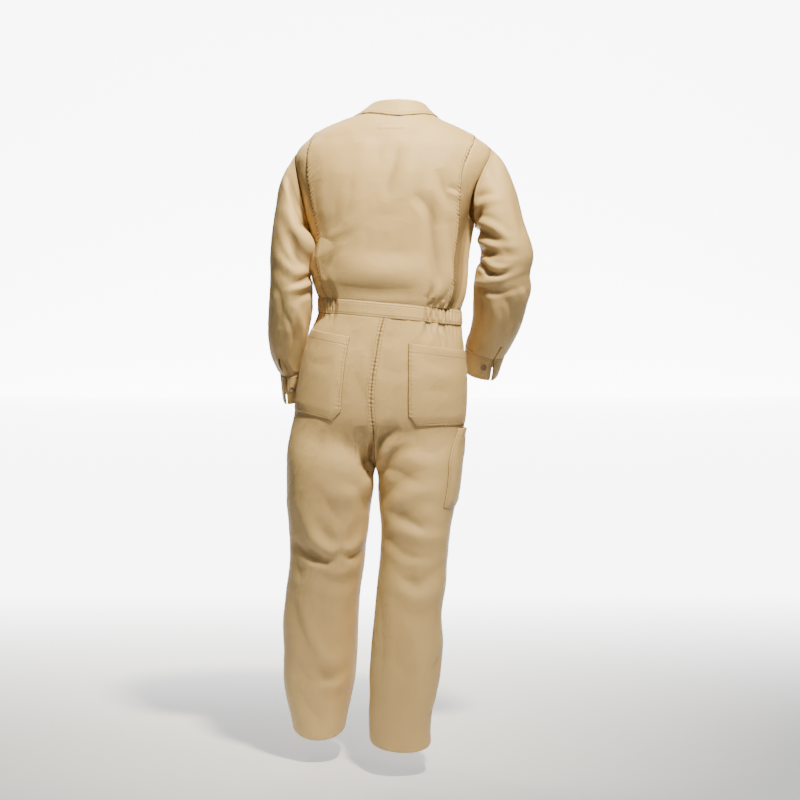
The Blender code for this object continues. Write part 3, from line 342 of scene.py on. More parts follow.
def arcs(points, axis):
    steps = np.linalg.norm(np.diff(points, axis=axis), axis=-1)
    shape = list(points.shape[:2])
    shape[axis] = 1
    return np.concatenate([np.zeros(shape), np.cumsum(steps, axis=axis)], axis=axis)


hollowSize = {"reach": 0.017, "full": 0.0028}


# How far each place lies below the cloth around it, from -1 to 1.
def hollows(points, normals):
    level = points
    for _ in range(2):
        for axis in (0, 1):
            pace = np.linalg.norm(np.diff(points, axis=axis), axis=-1).mean()
            half = int(min(max(round(hollowSize["reach"] / pace), 1), points.shape[axis] - 1))
            room = [(0, 0)] * 3
            room[axis] = (half, half)
            wide = np.pad(level, room, mode="reflect", reflect_type="odd")
            total = np.insert(np.cumsum(wide, axis=axis), 0, 0, axis=axis)
            first, span = np.arange(points.shape[axis]), 2 * half + 1
            level = (np.take(total, first + span, axis) - np.take(total, first, axis)) / span
    return np.clip(((level - points) * normals).sum(axis=-1) / hollowSize["full"], -1, 1)


def placed(name, data, finish):
    data.materials.append(finish)
    piece = bpy.data.objects.new(name, data)
    bpy.context.scene.collection.objects.link(piece)
    return piece


def meshPiece(name, shape, finish):
    data = bpy.data.meshes.new(name)
    shape.to_mesh(data)
    shape.free()
    return placed(name, data, finish)


# One cloth piece: a grid laid on its points, thickened inwards, with the distances its stitching needs.
def clothPiece(node, points, normals, finish, sewn="", hem=None, thick=None, skip=None, paintedShading=0):
    name = node + "_cloth"
    rows, columns = points.shape[:2]
    shape = bmesh.new()
    bmesh.ops.create_grid(shape, x_segments=columns - 1, y_segments=rows - 1, size=1.0)
    shape.verts.ensure_lookup_table()
    places = points.reshape(-1, 3)
    for vertex, place in zip(shape.verts, places):
        vertex.co = (place[0], place[1], place[2] - size["neckHeight"])
    shape.normal_update()
    shape.faces.ensure_lookup_table()
    probe = shape.faces[(rows // 2) * (columns - 1) + columns // 2]
    outward = Vector(normals.reshape(-1, 3)[probe.verts[0].index])
    if probe.normal.dot(outward) < 0:
        bmesh.ops.reverse_faces(shape, faces=shape.faces[:])
    data = bpy.data.meshes.new(name)
    across, down = arcs(points, 1), arcs(points, 0)
    reach = {"Left": across, "Right": across[:, -1:] - across, "Top": down, "Bottom": down[-1:] - down}
    fields = {"sewn" + edge: value + (0 if edge[0].lower() in sewn else 1) for edge, value in reach.items()}
    # The depth field below paints shade into troughs and highlight onto ridges, from how far each place lies below
    # the cloth around it, plus any extra painted shade passed in.
    fields.update(runAcross=across, runDown=down, hemLine=down * 0 + 1,
                  hollow=np.clip(hollows(points, normals) + paintedShading, -1, 1.4))
    if isinstance(hem, np.ndarray):
        fields["hemLine"] = hem
    elif hem:
        fields["hemLine"] = np.abs(reach[hem[0]] - hem[1])
    shape.to_mesh(data)
    for field, values in fields.items():
        layer = data.attributes.new(field, "FLOAT", "POINT")
        layer.data.foreach_set("value", np.ascontiguousarray(values, dtype=np.float32).ravel())
    if skip is not None:  # a slit: these cells of the grid are left out
        shape.free()
        shape = bmesh.new()
        shape.from_mesh(data)
        shape.faces.ensure_lookup_table()
        cut = [shape.faces[row * (columns - 1) + col] for row, col in zip(*np.nonzero(skip))]
        bmesh.ops.delete(shape, geom=cut, context="FACES")
        shape.to_mesh(data)
    shape.free()
    data.shade_smooth()
    piece = placed(name, data, finish)
    wall = piece.modifiers.new("cloth", "SOLIDIFY")
    wall.thickness = thick or size["cloth"]
    wall.offset = -1.0
    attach(piece, "suit")
    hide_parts(node)
    return piece


# Shader values with ordinary arithmetic: each operator adds its Math node.
class Value:
    def __init__(self, tree, socket):
        self.tree = tree
        self.socket = socket

    def node(self, kind, settings=None, **inputs):
        made = self.tree.nodes.new(kind)
        for name, value in (settings or {}).items():
            setattr(made, name, value)
        for name, value in inputs.items():
            key = int(name[1:]) if name[0] == "i" and name[1:].isdigit() else name
            target = made.inputs[key]
            if isinstance(value, Value):
                self.tree.links.new(value.socket, target)
            else:
                target.default_value = value
        return made

    def math(self, operation, *values, clamp=False):
        made = self.node("ShaderNodeMath", {"operation": operation, "use_clamp": clamp},
                         **{f"i{k}": value for k, value in enumerate(values)})
        return Value(self.tree, made.outputs[0])

    def held(self):
        return self.math("MULTIPLY", self, 1.0, clamp=True)


def operator(kind, reflected=False):
    return lambda self, *others: self.math(kind, *others, self) if reflected else self.math(kind, self, *others)


for name, kind in (("add", "ADD"), ("sub", "SUBTRACT"), ("mul", "MULTIPLY"), ("truediv", "DIVIDE")):
    setattr(Value, f"__{name}__", operator(kind))
    setattr(Value, f"__r{name}__", operator(kind, True))
for name, kind in (("size", "ABSOLUTE"), ("share", "FRACT"), ("wave", "SINE"), ("most", "MAXIMUM"),
                   ("least", "MINIMUM")):
    setattr(Value, name, operator(kind))


def attribute(tree, name):
    made = tree.nodes.new("ShaderNodeAttribute")
    made.attribute_name = name
    return Value(tree, made.outputs["Fac"])


def mixColor(tree, share, first, second, blend="MIX"):
    made = tree.nodes.new("ShaderNodeMix")
    made.data_type = "RGBA"
    made.blend_type = blend
    for key, value in (("Factor", share), (6, first), (7, second)):
        target = made.inputs[key]
        if isinstance(value, Value):
            tree.links.new(value.socket, target)
        else:
            target.default_value = value if key == "Factor" else (*value, 1.0)
    return Value(tree, made.outputs[2])


twillLook = {
    "color": (0.600, 0.402, 0.160),
    "deep": (0.465, 0.312, 0.130),
    # painted shade for troughs and painted highlight for ridges
    "shaded": (0.250, 0.165, 0.074),
    "paintedHighlight": (0.690, 0.478, 0.205),
    "thread": (0.520, 0.335, 0.135),
    # painted shade colour for the crevices along sewn edges
    "seamShade": (0.200, 0.120, 0.046),
    "rough": 0.52,
    "sheen": (0.03, 0.45, (1.0, 0.86, 0.66, 1.0)),  # weight, roughness and tint
    "specular": 0.30,
    "hollow": (0.60, 0.35),  # how much painted shade darkens troughs and painted highlight lightens ridges
    "rows": (0.0016, 0.0074),  # distances of the double topstitching from an edge
    "stitch": 0.0033,
    "halfRow": 0.00055,
    "halfChannel": 0.0022,  # the cloth that a row of stitches draws down
    "halfSeamShade": 0.0018,
    "ruffle": 0.022,  # how far puckers reach from a seam
    "weave": 0.0012,
    "grains": {"pucker": (150.0, 150.0, 2.0), "slub": (30.0, 400.0, 3.0), "cloud": (9.0, 6.0, 3.0),
               "fine": (60.0, 60.0, 3.0)},  # grains a metre across and down, and detail
    "heights": {"weave": 0.03, "slub": 0.06, "fine": 0.25, "pucker": 1.1, "thread": 0.30, "channel": 0.55},  # mm
}


def makeTwill(name="khaki_twill", look=twillLook):
    made = bpy.data.materials.new(name)
    made.use_nodes = True
    tree = made.node_tree
    shader = tree.nodes["Principled BSDF"]
    left, right, top, bottom = (attribute(tree, "sewn" + edge) for edge in ("Left", "Right", "Top", "Bottom"))
    across, down = attribute(tree, "runAcross"), attribute(tree, "runDown")

    def noise(name):
        scaleAcross, scaleDown, detail = look["grains"][name]
        place = across.node("ShaderNodeCombineXYZ", X=across * scaleAcross, Y=down * scaleDown)
        grain = across.node("ShaderNodeTexNoise", Vector=Value(tree, place.outputs[0]), Scale=1.0, Detail=detail,
                            Roughness=0.5)
        return Value(tree, grain.outputs["Fac"])

    def row(distance, run):
        near = (1 - (distance / look["halfRow"]).size()).held()
        dash = ((0.40 - ((run / look["stitch"]).share() - 0.5).size()) / 0.07).held()
        return near * dash, (1 - (distance / look["halfChannel"]).size()).held()

    thread, channel = row(attribute(tree, "hemLine"), across)
    for edge, run in ((left, down), (right, down), (top, across), (bottom, across)):
        for offset in look["rows"]:
            one, dip = row(edge - offset, run)
            thread, channel = thread.most(one), channel.most(dip)
    nearest = left.least(right).least(top.least(bottom))
    ruffle = (1 - nearest / look["ruffle"]).held()
    pucker, slub, cloud, fine = (noise(grain) - 0.5 for grain in ("pucker", "slub", "cloud", "fine"))
    weave = ((across + down * 1.7) * (2 * math.pi / look["weave"])).wave()
    # Random tone from cloud and slub and the weave, plus painted shade where the stitch rows draw the cloth down.
    shade = (0.35 + 0.5 * cloud + 0.25 * slub + channel * 0.60 + weave * 0.05).held()
    color = mixColor(tree, shade, look["color"], look["deep"])
    # Painted shade in troughs and in the open pleat, painted highlight on ridges.
    paintedShading = attribute(tree, "hollow")
    color = mixColor(tree, (paintedShading * look["hollow"][0]).held(), color, look["shaded"])
    color = mixColor(tree, (paintedShading * -look["hollow"][1]).held(), color, look["paintedHighlight"])
    # Painted shade in the crevice along each sewn edge and in the stitch channels, broken up by the puckers.
    seamShade = ((1 - nearest / look["halfSeamShade"]) * 1.4).held() * (0.85 + 1.6 * pucker).held()
    channelShade = channel * (0.34 + 1.4 * pucker).held() * 0.6
    color = mixColor(tree, (seamShade + channelShade).held(), color, look["seamShade"])
    color = mixColor(tree, thread * 0.8, color, look["thread"])
    tree.links.new(color.socket, shader.inputs["Base Color"])
    rough = look["rough"] + 0.08 * fine + thread * -0.10
    tree.links.new(rough.socket, shader.inputs["Roughness"])
    high = look["heights"]
    height = (weave * high["weave"] + slub * high["slub"] + fine * high["fine"]
              + pucker * ruffle * high["pucker"] + thread * high["thread"] - channel * high["channel"])
    bump = across.node("ShaderNodeBump", Height=height, Strength=1.0, Distance=0.001)
    tree.links.new(bump.outputs["Normal"], shader.inputs["Normal"])
    weight, roughness, tint = look["sheen"]
    for entry, value in (("Sheen Weight", weight), ("Sheen Roughness", roughness), ("Sheen Tint", tint),
                         ("Specular IOR Level", look["specular"])):
        shader.inputs[entry].default_value = value
    return made


def plainFinish(name, color, roughness, metallic=0.0, grain=0.0):
    made = bpy.data.materials.new(name)
    made.use_nodes = True
    tree = made.node_tree
    shader = tree.nodes["Principled BSDF"]
    shader.inputs["Metallic"].default_value = metallic
    coordinates = Value(tree, tree.nodes.new("ShaderNodeTexCoord").outputs["Object"])
    speck = coordinates.node("ShaderNodeTexNoise", Vector=coordinates, Scale=700.0, Detail=3.0)
    speck = Value(tree, speck.outputs["Fac"])
    dark = tuple(value * 0.72 for value in color)
    tree.links.new(mixColor(tree, speck, color, dark).socket, shader.inputs["Base Color"])
    tree.links.new((roughness + grain * (speck - 0.5)).socket, shader.inputs["Roughness"])
    return made


# Places along a run from 0 to 1, closer together at both ends.
def spread(count, crowd=0.55):
    t = np.linspace(0, 1, count + 1)
    return (1 - crowd) * t + crowd * (1 - np.cos(np.pi * t)) / 2


def pathRun(places):
    return np.concatenate([[0], np.cumsum(np.linalg.norm(np.diff(places, axis=0), axis=1))])


# A line of angles and heights on the torso, with its places spread along its length.
def evenly(line, count, crowd=0.55):
    places = torso(line[:, 0], line[:, 1])
    run = pathRun(places)
    at = spread(count, crowd) * run[-1]
    return pair(np.interp(at, run, line[:, 0]), np.interp(at, run, line[:, 1]))


def waistMiddle(angle):
    return size["waistHeight"] + size["waistTilt"] * np.sin(np.radians(angle))


def bandTop(angle):
    return waistMiddle(angle) + size["bandHalf"]


def pleatAngle(side, height):
    return signs[side] * column(pleatLines[side], "angle", height)


def zipAngle(height):
    return np.degrees(size["zipHalf"] / torsoRing(height)[1])


def frontEdgeAngle(side, height):
    return signs[side] * (180 - zipAngle(height)) + bodyTurn(height)


neckOval = {"middle": 0.0040, "across": 0.0807, "back": 0.0615, "front": -0.0855}
collarOval = {"middle": 0.0045, "across": 0.1015, "back": 0.0805, "front": -0.1180}


def ringShares(across, depth, height):
    centreX, halfX, centreY, halfY = torsoRing(height)
    return (across - centreX) / halfX, (depth - centreY) / halfY


# Torso angle and height where the surface passes through a place seen from above.
def onTorso(across, depth):
    low = np.full(np.shape(across), 1.44)
    high = np.full(np.shape(across), torsoRings["height"][0])
    for _ in range(40):
        middle = (low + high) / 2
        share, along = ringShares(across, depth, middle)
        outside = np.abs(share) ** size["ringPower"] + np.abs(along) ** size["ringPower"] > 1
        high = np.where(outside, middle, high)
        low = np.where(outside, low, middle)
    share, along = ringShares(across, depth, low)
    return np.degrees(np.arctan2(share, along)), low


def ovalPlace(oval, turn):
    turn = np.radians(turn)
    depth = np.where(np.cos(turn) > 0, oval["back"], -oval["front"])
    return oval["middle"] + oval["across"] * np.sin(turn), depth * np.cos(turn)


def seamNeck(turns):
    angle, height = onTorso(*ovalPlace(neckOval, turns))
    return pair(angle, height)


neckFront = np.degrees(size["zipHalf"] / neckOval["across"])


def angleAt(across, height, behind):
    centre, half = torsoRing(height)[:2]
    share = np.clip((across - centre) / half, -1, 1)
    rest = (1 - np.abs(share) ** size["ringPower"]) ** (1 / size["ringPower"])
    return np.degrees(np.arctan2(share, rest if behind else -rest))


# Fills four edge lines of the torso with a grid of angles and heights.
def panel(top, bottom, left, right, cells, behind, crowd=0.55):
    top, bottom = evenly(top, cells[0]), evenly(bottom, cells[0])
    left, right = evenly(left, cells[1], crowd), evenly(right, cells[1], crowd)
    edges = [pair(torso(edge[:, 0], edge[:, 1])[:, 0], edge[:, 1]) for edge in (top, bottom, left, right)]
    u = spread(len(top) - 1)[None, :, None]
    v = spread(len(left) - 1, crowd)[:, None, None]
    ruled = edges[0][None] * (1 - v) + edges[1][None] * v + edges[2][:, None] * (1 - u) + edges[3][:, None] * u
    corners = [edge[0] * (1 - u) + edge[-1] * u for edge in edges[:2]]
    flat = ruled - corners[0] * (1 - v) - corners[1] * v
    angle = angleAt(flat[..., 0], flat[..., 1], behind)
    if not behind and left[1, 0] < 0:
        angle = np.where(angle > 0, angle - 360, angle)
    grid = pair(angle, flat[..., 1])
    grid[0], grid[-1], grid[:, 0], grid[:, -1] = top, bottom, left, right
    return grid


# The elastic at the back of the waist. A tuck has its angle and half width in degrees, then its depth and
# its reach above and below the band in millimetres.
elastic = {
    "left": (44.0, 88.0),
    "right": (-28.0, -88.0),
    "pinch": 0.0036,
    "reach": 0.026,
    "ends": (0.08, 0.10),  # shares of its run over which the pinch starts and stops
    "sway": (0.5, 0.006),  # how far (degrees) and how fast (metres) a tuck wanders
    "fan": 0.6,
    "widen": 22.0,
    "tucks": ((47.5, 1, 3, 16, 20), (51, 0.9, 3.4, 24, 12), (54.5, 1.1, 5.6, 12, 34), (58, 1, 4.4, 20, 16),
              (63, 1.2, 6, 14, 26), (69, 1.3, 4.8, 12, 18), (76, 1.5, 5.6, 14, 24), (83, 1.6, 4, 10, 12),
              (-30.4, 0.9, 4.6, 18, 30), (-33.2, 0.8, 4.2, 34, 14), (-35.2, 0.9, 6.6, 14, 46),
              (-38.2, 0.8, 4.8, 30, 20), (-41.6, 1, 7, 18, 44), (-45, 0.9, 5, 26, 16), (-49.2, 1.1, 6.6, 14, 36),
              (-54, 1, 5, 20, 22), (-59, 1.2, 6.4, 16, 30), (-65.5, 1.3, 5, 14, 18), (-73, 1.5, 6, 14, 26),
              (-81, 1.6, 4.4, 12, 14)),
}


# Upright tucks that the elastic draws up, which run on a little above and below the band.
def ruches(angle, height):
    away = height - waistMiddle(angle)
    over = np.clip(np.abs(away) - size["bandHalf"], 0, None)
    total = np.zeros(away.shape)
    for side in signs:
        start, end = elastic[side]
        share = (angle - start) / (end - start)
        inside = smoothStep(share / elastic["ends"][0] + 0.5) * smoothStep((1.05 - share) / elastic["ends"][1])
        total = total - elastic["pinch"] * inside * np.exp(-(over / elastic["reach"]) ** 2)
    for middle, width, *lengths in elastic["tucks"]:
        depth, above, below = (length / 1000 for length in lengths)
        line = middle * (1 + over * elastic["fan"]) + elastic["sway"][0] * np.sin(away / elastic["sway"][1] + middle)
        fade = np.exp(-(over / np.where(away > 0, above, below)) ** 1.3)
        across = (angle - line) / (width * (1 + over * elastic["widen"]))
        total = total - depth * fade * np.exp(-np.abs(across) ** 1.4)
    return total


seam = {"raised": 0.0008, "edge": 0.0016, "beat": 0.0015, "wander": (2.6, 0.03), "grain": (0.017, 0.02)}


# A flat-felled seam: a raised strip with small ripples that its two rows of stitches draw up.
def felledSeam(distance, run, seed, strip=0.0095, ripple=0.0011, reach=0.012):
    beat = np.sin(run / seam["beat"] + seam["wander"][0] * softNoise(run / seam["wander"][1], distance * 0, seed))
    deep = 0.6 + 0.6 * softNoise(run / seam["grain"][0], distance / seam["grain"][1], seed + 1)
    level = seam["raised"] * (1 - smoothStep((distance - strip) / seam["edge"])) if strip else 0
    return level + ripple * beat * deep * np.exp(-(distance / reach) ** 2)


backCreases = [
    (168, 1283, 188, 1240, 204, 1200, 15.8, 9, 0, 1), (151, 1279, 163, 1227, 175, 1180, 9.5, -1.1, 0.2, 1),
    (199, 1213, 184, 1187, 172, 1151, 6.3, -2.9, 0.3, 1), (-6, 1516, 10, 1444, 33, 1371, 16.8, -3.6, 0.2, 1),
    (-29, 1509, -26, 1437, -13, 1371, 18.9, 2.5, 0, 1), (23, 1536, 40, 1476, 45, 1417, 15.8, -2.3, -0.3, 1),
    (139, 1437, 147, 1371, 151, 1302, 18.9, -2.3, 0.3, 1), (106, 1470, 113, 1398, 122, 1325, 16.8, -2.2, -0.2, 1),
    (182, 1417, 178, 1358, 162, 1306, 13.7, 1.6, 0, 1), (-36, 1391, -70, 1358, -95, 1306, 15.8, -4, 0.4, 0.8),
    (-56, 1411, -92, 1371, -122, 1325, 15.8, 2.7, -0.3, 0.8),
    (-92, 1447, -109, 1404, -125, 1352, 12.6, -3.6, 0.4, 0.8),
    (-81, 1398, -85, 1279, -100, 1144, 15.8, -4.3, 0.3, 1),
    (-100, 1358, -111, 1266, -122, 1151, 11.6, 3.2, -0.2, 1),
    (-122, 1306, -126, 1227, -135, 1144, 8.4, -3.2, 0.3, 1.2),
    (-56, 1292, -74, 1213, -79, 1144, 14.7, -2.7, 0.2, 1.4), (169, 1289, 131, 1302, 86, 1331, 12.6, 2, 0.3, 0.6),
    (191, 1246, 164, 1276, 113, 1296, 11.6, -1.3, 0.5, 0.5),
    (182, 1240, 146, 1213, 73, 1207, 15.8, -1.4, 0.3, 0.6), (185, 1213, 162, 1187, 156, 1147, 8.4, -1.4, 0.3, 1.2),
    (172, 1227, 154, 1187, 142, 1146, 8.4, 1.1, 0, 1.2), (162, 1180, 40, 1163, -92, 1173, 25.2, -4.7, 0.2, 1),
    (152, 1213, 40, 1200, -79, 1208, 31.5, 3.2, 0, 1), (159, 1144, 40, 1134, -66, 1134, 10.5, 2.2, 0, 1),
    (80, 1346, 33, 1339, -13, 1345, 18.9, -1.6, 0.2, 1), (86, 1266, 20, 1253, -52, 1266, 25.2, -1.6, 0, 1),
    (-118, 1407, -137, 1400, -158, 1394, 7.4, -1.6, 0.3, 0.7),
    (-116, 1396, -137, 1387, -158, 1379, 7.4, 1.4, 0, 0.7), (106, 1549, 73, 1534, 40, 1529, 16.8, -1.6, 0.3, 1),
    (0, 1526, -39, 1536, -82, 1556, 15.8, -1.8, 0.3, 1), (-66, 1139, -74, 1158, -70, 1187, 6.3, -3.6, 0.2, 0.5),
    (-84, 1139, -91, 1159, -92, 1194, 6.3, 2.9, 0, 0.5), (-105, 1134, -111, 1159, -121, 1187, 6.3, -3.6, 0.2, 0.5),
    (-125, 1131, -129, 1151, -133, 1174, 5.3, 2.7, 0, 0.5), (181, 1147, 175, 1171, 179, 1197, 6.3, -1.8, 0.2, 0.5),
]
frontCreases = [
    (190, 1330, 130, 1286, 50, 1272, 9, -5.8, 0.4, 0.5), (185, 1305, 140, 1250, 80, 1222, 8.5, 4.5, 0, 0.6),
    (190, 1280, 150, 1215, 120, 1160, 7.6, -4.8, 0.3, 0.6), (-150, 1345, -100, 1300, -30, 1290, 9, -5.4, 0.4, 0.5),
    (-150, 1315, -105, 1262, -60, 1230, 8.5, 4.2, 0, 0.6),
    (-145, 1280, -115, 1215, -90, 1155, 7.6, -4.5, 0.3, 0.6), (105, 1455, 112, 1380, 94, 1300, 11.4, -3.8, 0.3, 1),
    (62, 1470, 55, 1400, 70, 1330, 11.4, 3.2, 0, 1), (-85, 1465, -95, 1385, -80, 1310, 11.4, -3.8, -0.3, 1),
    (-45, 1440, -40, 1380, -52, 1320, 10.4, 2.9, 0, 1), (150, 1205, 100, 1188, 40, 1196, 14.2, 5.1, 0, 1),
    (160, 1168, 100, 1158, 30, 1164, 9.5, -4.8, 0.2, 1), (-120, 1195, -75, 1178, -25, 1184, 14.2, 4.8, 0, 1),
    (-125, 1158, -80, 1150, -25, 1154, 9.5, -4.5, 0.2, 1), (150, 1128, 140, 1160, 148, 1195, 5.2, -4.2, 0.2, 0.6),
    (130, 1128, 118, 1156, 112, 1190, 5.2, 3.8, 0, 0.6), (104, 1128, 92, 1160, 90, 1200, 5.7, -3.8, 0.2, 0.6),
    (-112, 1112, -104, 1145, -110, 1180, 5.2, -4.2, 0.2, 0.6), (-92, 1112, -82, 1140, -78, 1175, 5.2, 3.5, 0, 0.6),
    (28, 1300, 40, 1230, 30, 1160, 9.5, -3.5, 0.2, 1), (-60, 1300, -52, 1240, -60, 1180, 9.5, 3.2, 0, 1),
    (150, 1500, 110, 1478, 70, 1480, 10.4, -3.5, 0.3, 0.7),
    (-140, 1510, -100, 1482, -60, 1486, 10.4, -3.5, 0.3, 0.7),
]
# Heights of the pleat openings, how far they fade and reach round (degrees), and how they lift, sink and take painted
# shade.
bodice = {
    "pleatLift": {"left": 0.0025, "right": 0.0060},
    "pleatSink": {"left": 0.0040, "right": 0.0180},
    "bottom": {"left": 1.10, "right": 1.03},
    "top": {"left": 1.50, "right": 1.47},
    "fade": {"left": 0.15, "right": 0.20},
    "reach": {"left": 5.0, "right": 11.0},
    "mouth": {"left": 0.5, "right": 20.0},
    "shade": {"left": 0.5, "right": 2.0},
    "tuck": 9.0,
    "under": 0.0024,
    "seamLap": (2.0, 2.5),
    "seamSink": 0.0013,
    "ripple": (0.0015, 0.009),
    "cells": {"side": (56, 220), "centre": (88, 400), "front": (84, 110)},
    "crowd": 0.1,
}
loopPatch = {"middle": (0.0178, 1.5501), "half": (0.0323, 0.0072), "lift": 0.0011}  # stitched down below the collar
blousing = {"rise": 0.055, "reach": 0.075, "back": 0.0125, "front": 0.0080}


# The bodice hangs over a little above the waistband.
def blouse(angle, height):
    above = height - bandTop(angle)
    share = 0.5 + 0.5 * np.cos(np.radians(angle))
    depth = blousing["front"] + (blousing["back"] - blousing["front"]) * share
    swell = 1 + 0.25 * softNoise(angle / 21.0, above * 0, 45)
    tuckedIn = np.sin(np.clip(above / blousing["rise"], 0, 1) * np.pi / 2)
    return depth * swell * tuckedIn * np.exp(-(np.clip(above - blousing["rise"], 0, None) / blousing["reach"]) ** 2)


def pleatOpening(side, angle, height):
    low, high = bodice["bottom"][side], bodice["top"][side]
    along = smoothStep((height - low) / 0.05) * smoothStep((high - height) / bodice["fade"][side])
    return along * np.exp(-((angle - pleatAngle(side, height)) / bodice["reach"][side]) ** 2)


def torsoCloth(grid, lift, seed, calm=1.0):
    angle, height = grid[..., 0], grid[..., 1]
    normals = formNormals(torso, angle, height, -1)
    base = torso(angle, height)
    folds = relief(base, normals, backCreases, frontCreases, seed, calm)
    total = size["wall"] + lift + blouse(angle, height) + ruches(angle, height) + folds
    return base + normals * total[..., None], normals


# The edge of a back side or front panel: along the armhole and down the side seam.
def sideEdge(side, around):
    flank = 90.0 * signs[side]
    below = pair(flank, np.linspace(armholes[side]["under"], bandTop(flank), flatCount))
    return np.concatenate([pair(*armholePoint(side, around)), below[1:]])


# A panel's lower edge on the waistband between two angles.
def waistEdge(first, last, count):
    angles = np.linspace(first, last, count)
    return pair(angles, bandTop(angles))


def buildBackSide(side, finish):
    sign = signs[side]
    flank = 90.0 * sign
    pleatTop = pleatLines[side]["height"][0]
    heights = np.linspace(pleatTop, 1.09, 200)
    line = pair(pleatAngle(side, heights), heights)
    line = line[line[:, 1] > bandTop(line[:, 0])]
    line = np.concatenate([line, [[line[-1, 0], bandTop(line[-1, 0])]]])
    hidden = line.copy()
    hidden[:, 0] -= sign * bodice["tuck"] * smoothStep((pleatTop + 0.004 - hidden[:, 1]) / 0.02)
    top = pair(flank, np.linspace(pleatTop, armholes[side]["top"], 20))
    top[0] = hidden[0]
    bottom, edge = waistEdge(hidden[-1, 0], flank, 50), sideEdge(side, np.linspace(0, 180, flatCount))
    grid = panel(top, bottom, hidden, edge, bodice["cells"]["side"], True, bodice["crowd"])
    angle, height = grid[..., 0], grid[..., 1]
    beyond = sign * (angle - pleatAngle(side, height))
    opening = pleatOpening(side, pleatAngle(side, height), height)
    opening = opening * (1 - smoothStep((beyond - bodice["mouth"][side]) / bodice["reach"][side]))
    lift = -bodice["pleatSink"][side] * opening - bodice["under"] * smoothStep((2.5 - beyond) / 3.0)
    points, normals = torsoCloth(grid, lift, 11)
    # The open pleat's gap gets painted shade in its colour.
    clothPiece("back_side_" + side, points, normals, finish, sewn="lr", paintedShading=bodice["shade"][side] * opening)
    return line


def buildBodice(finish):
    back = [buildBackSide(side, finish) for side in signs]
    neck = seamNeck(np.linspace(90, -90, 90))
    shoulders = [pair(90.0 * sign, np.linspace(pleatLines[side]["height"][0], neck[end, 1], 24))
                 for (side, sign), end in zip(signs.items(), (0, -1))]
    top = np.concatenate([shoulders[0], neck[1:-1], shoulders[1][::-1]])
    bottom = waistEdge(back[0][-1, 0], back[1][-1, 0], 90)
    grid = panel(top, bottom, *back, bodice["cells"]["centre"], True, bodice["crowd"])
    angle, height = grid[..., 0], grid[..., 1]
    lift = sum(bodice["pleatLift"][side] * pleatOpening(side, angle, height) for side in signs)
    base = torso(angle, height)
    across, down = arcs(base, 1), arcs(base, 0)
    ripple, reach = bodice["ripple"]
    for distance, seed in ((across, 21), (across[:, -1:] - across, 22)):
        lift = lift + felledSeam(distance, down, seed, ripple=ripple, reach=reach)
    x, z = base[..., 0] - loopPatch["middle"][0], base[..., 2] - loopPatch["middle"][1]
    outline = np.maximum(np.abs(x) - loopPatch["half"][0], np.abs(z) - loopPatch["half"][1])
    lift = lift + loopPatch["lift"] * smoothStep(-outline / 0.003 + 0.5)
    points, normals = torsoCloth(grid, lift, 10, 0.7)
    clothPiece("back_centre", points, normals, finish, sewn="lr", hem=np.abs(outline + 0.0016))


def buildFronts(finish):
    for side, sign in signs.items():
        flank = 90.0 * sign
        neck = seamNeck(np.linspace(90, 180 - neckFront, 50) * sign)
        neck[:, 0] = np.where(neck[:, 0] * sign < 0, neck[:, 0] + 360 * sign, neck[:, 0])
        top = np.concatenate([pair(flank, np.linspace(armholes[side]["top"], neck[0, 1], 50)), neck[1:]])
        bottom = waistEdge(flank, frontEdgeAngle(side, size["waistHeight"]), 60)
        heights = np.linspace(neck[-1, 1], bottom[-1, 1], 90)
        front = pair(frontEdgeAngle(side, heights), heights)
        front[0] = neck[-1]
        edge = sideEdge(side, np.linspace(360, 180, flatCount))
        grid = panel(top, bottom, edge, front, bodice["cells"]["front"], False)
        away = np.exp(-((np.abs(grid[..., 0]) - 90) / bodice["seamLap"][1]) ** 2)
        grid[..., 0] = grid[..., 0] - sign * bodice["seamLap"][0] * away
        points, normals = torsoCloth(grid, -bodice["seamSink"] * away, 13)
        clothPiece("front_" + side, points, normals, finish, sewn="r")


band = {"rows": 17, "back": 70, "side": 240, "gathered": 0.72, "grow": 1.06, "lift": 0.0014, "edge": 0.0016,
        "crown": 0.0009, "thick": 0.0018}


def buildWaistband(finish):
    spans = {"back": (elastic["right"][0], elastic["left"][0], band["back"])}
    for side in signs:
        spans[side] = (elastic[side][0], frontEdgeAngle(side, size["waistHeight"]), band["side"])
    share = np.linspace(-1, 1, band["rows"])[:, None]
    for name, (first, last, count) in spans.items():
        along = np.linspace(0, 1, count)
        if name in elastic:  # most of the columns go to the gathers
            along = np.interp(along, (0, band["gathered"], 1), (0, (elastic[name][1] - first) / (last - first), 1))
        angle = first + (last - first) * along[None]
        height = waistMiddle(angle) - share * size["bandHalf"] * band["grow"]
        lift = band["lift"] - band["edge"] * np.abs(share) ** 5 + band["crown"] * (1 - share ** 2)
        points, normals = torsoCloth(pair(angle, height), lift, 12)
        clothPiece("waistband_" + name, points, normals, finish, sewn="tb", thick=band["thick"])


def hemHeight(side, around):
    inner, back, outer, front = hems[side]
    turn = np.radians(around)
    level = inner * np.cos(turn / 2) ** 2 + outer * np.sin(turn / 2) ** 2
    faced = np.where(np.sin(turn) > 0, back, front)
    return level + (faced - (inner + outer) / 2) * np.abs(np.sin(turn))


# How far the centre back seam drifts across, in millimetres by height, and later in ring angles of the legs.
seatSeam = metres({"height": (1085, 1010, 945, 880, 830, 790), "across": (-15, -9, -1, 2, 0.5, 0)})
driftHeights = np.linspace(0.74, 1.13, 120)


def findDrift():
    steps = np.linspace(0, 45, 46)
    found = []
    for height in driftHeights:
        want = float(column(seatSeam, "across", np.array(height)))
        x = leg("right" if want < 0 else "left", steps, height + 0 * steps)[:, 0]
        found.append(np.interp(abs(want), np.abs(x - x[0]), steps) * (1 if want < 0 else -1))
    return np.array(found)


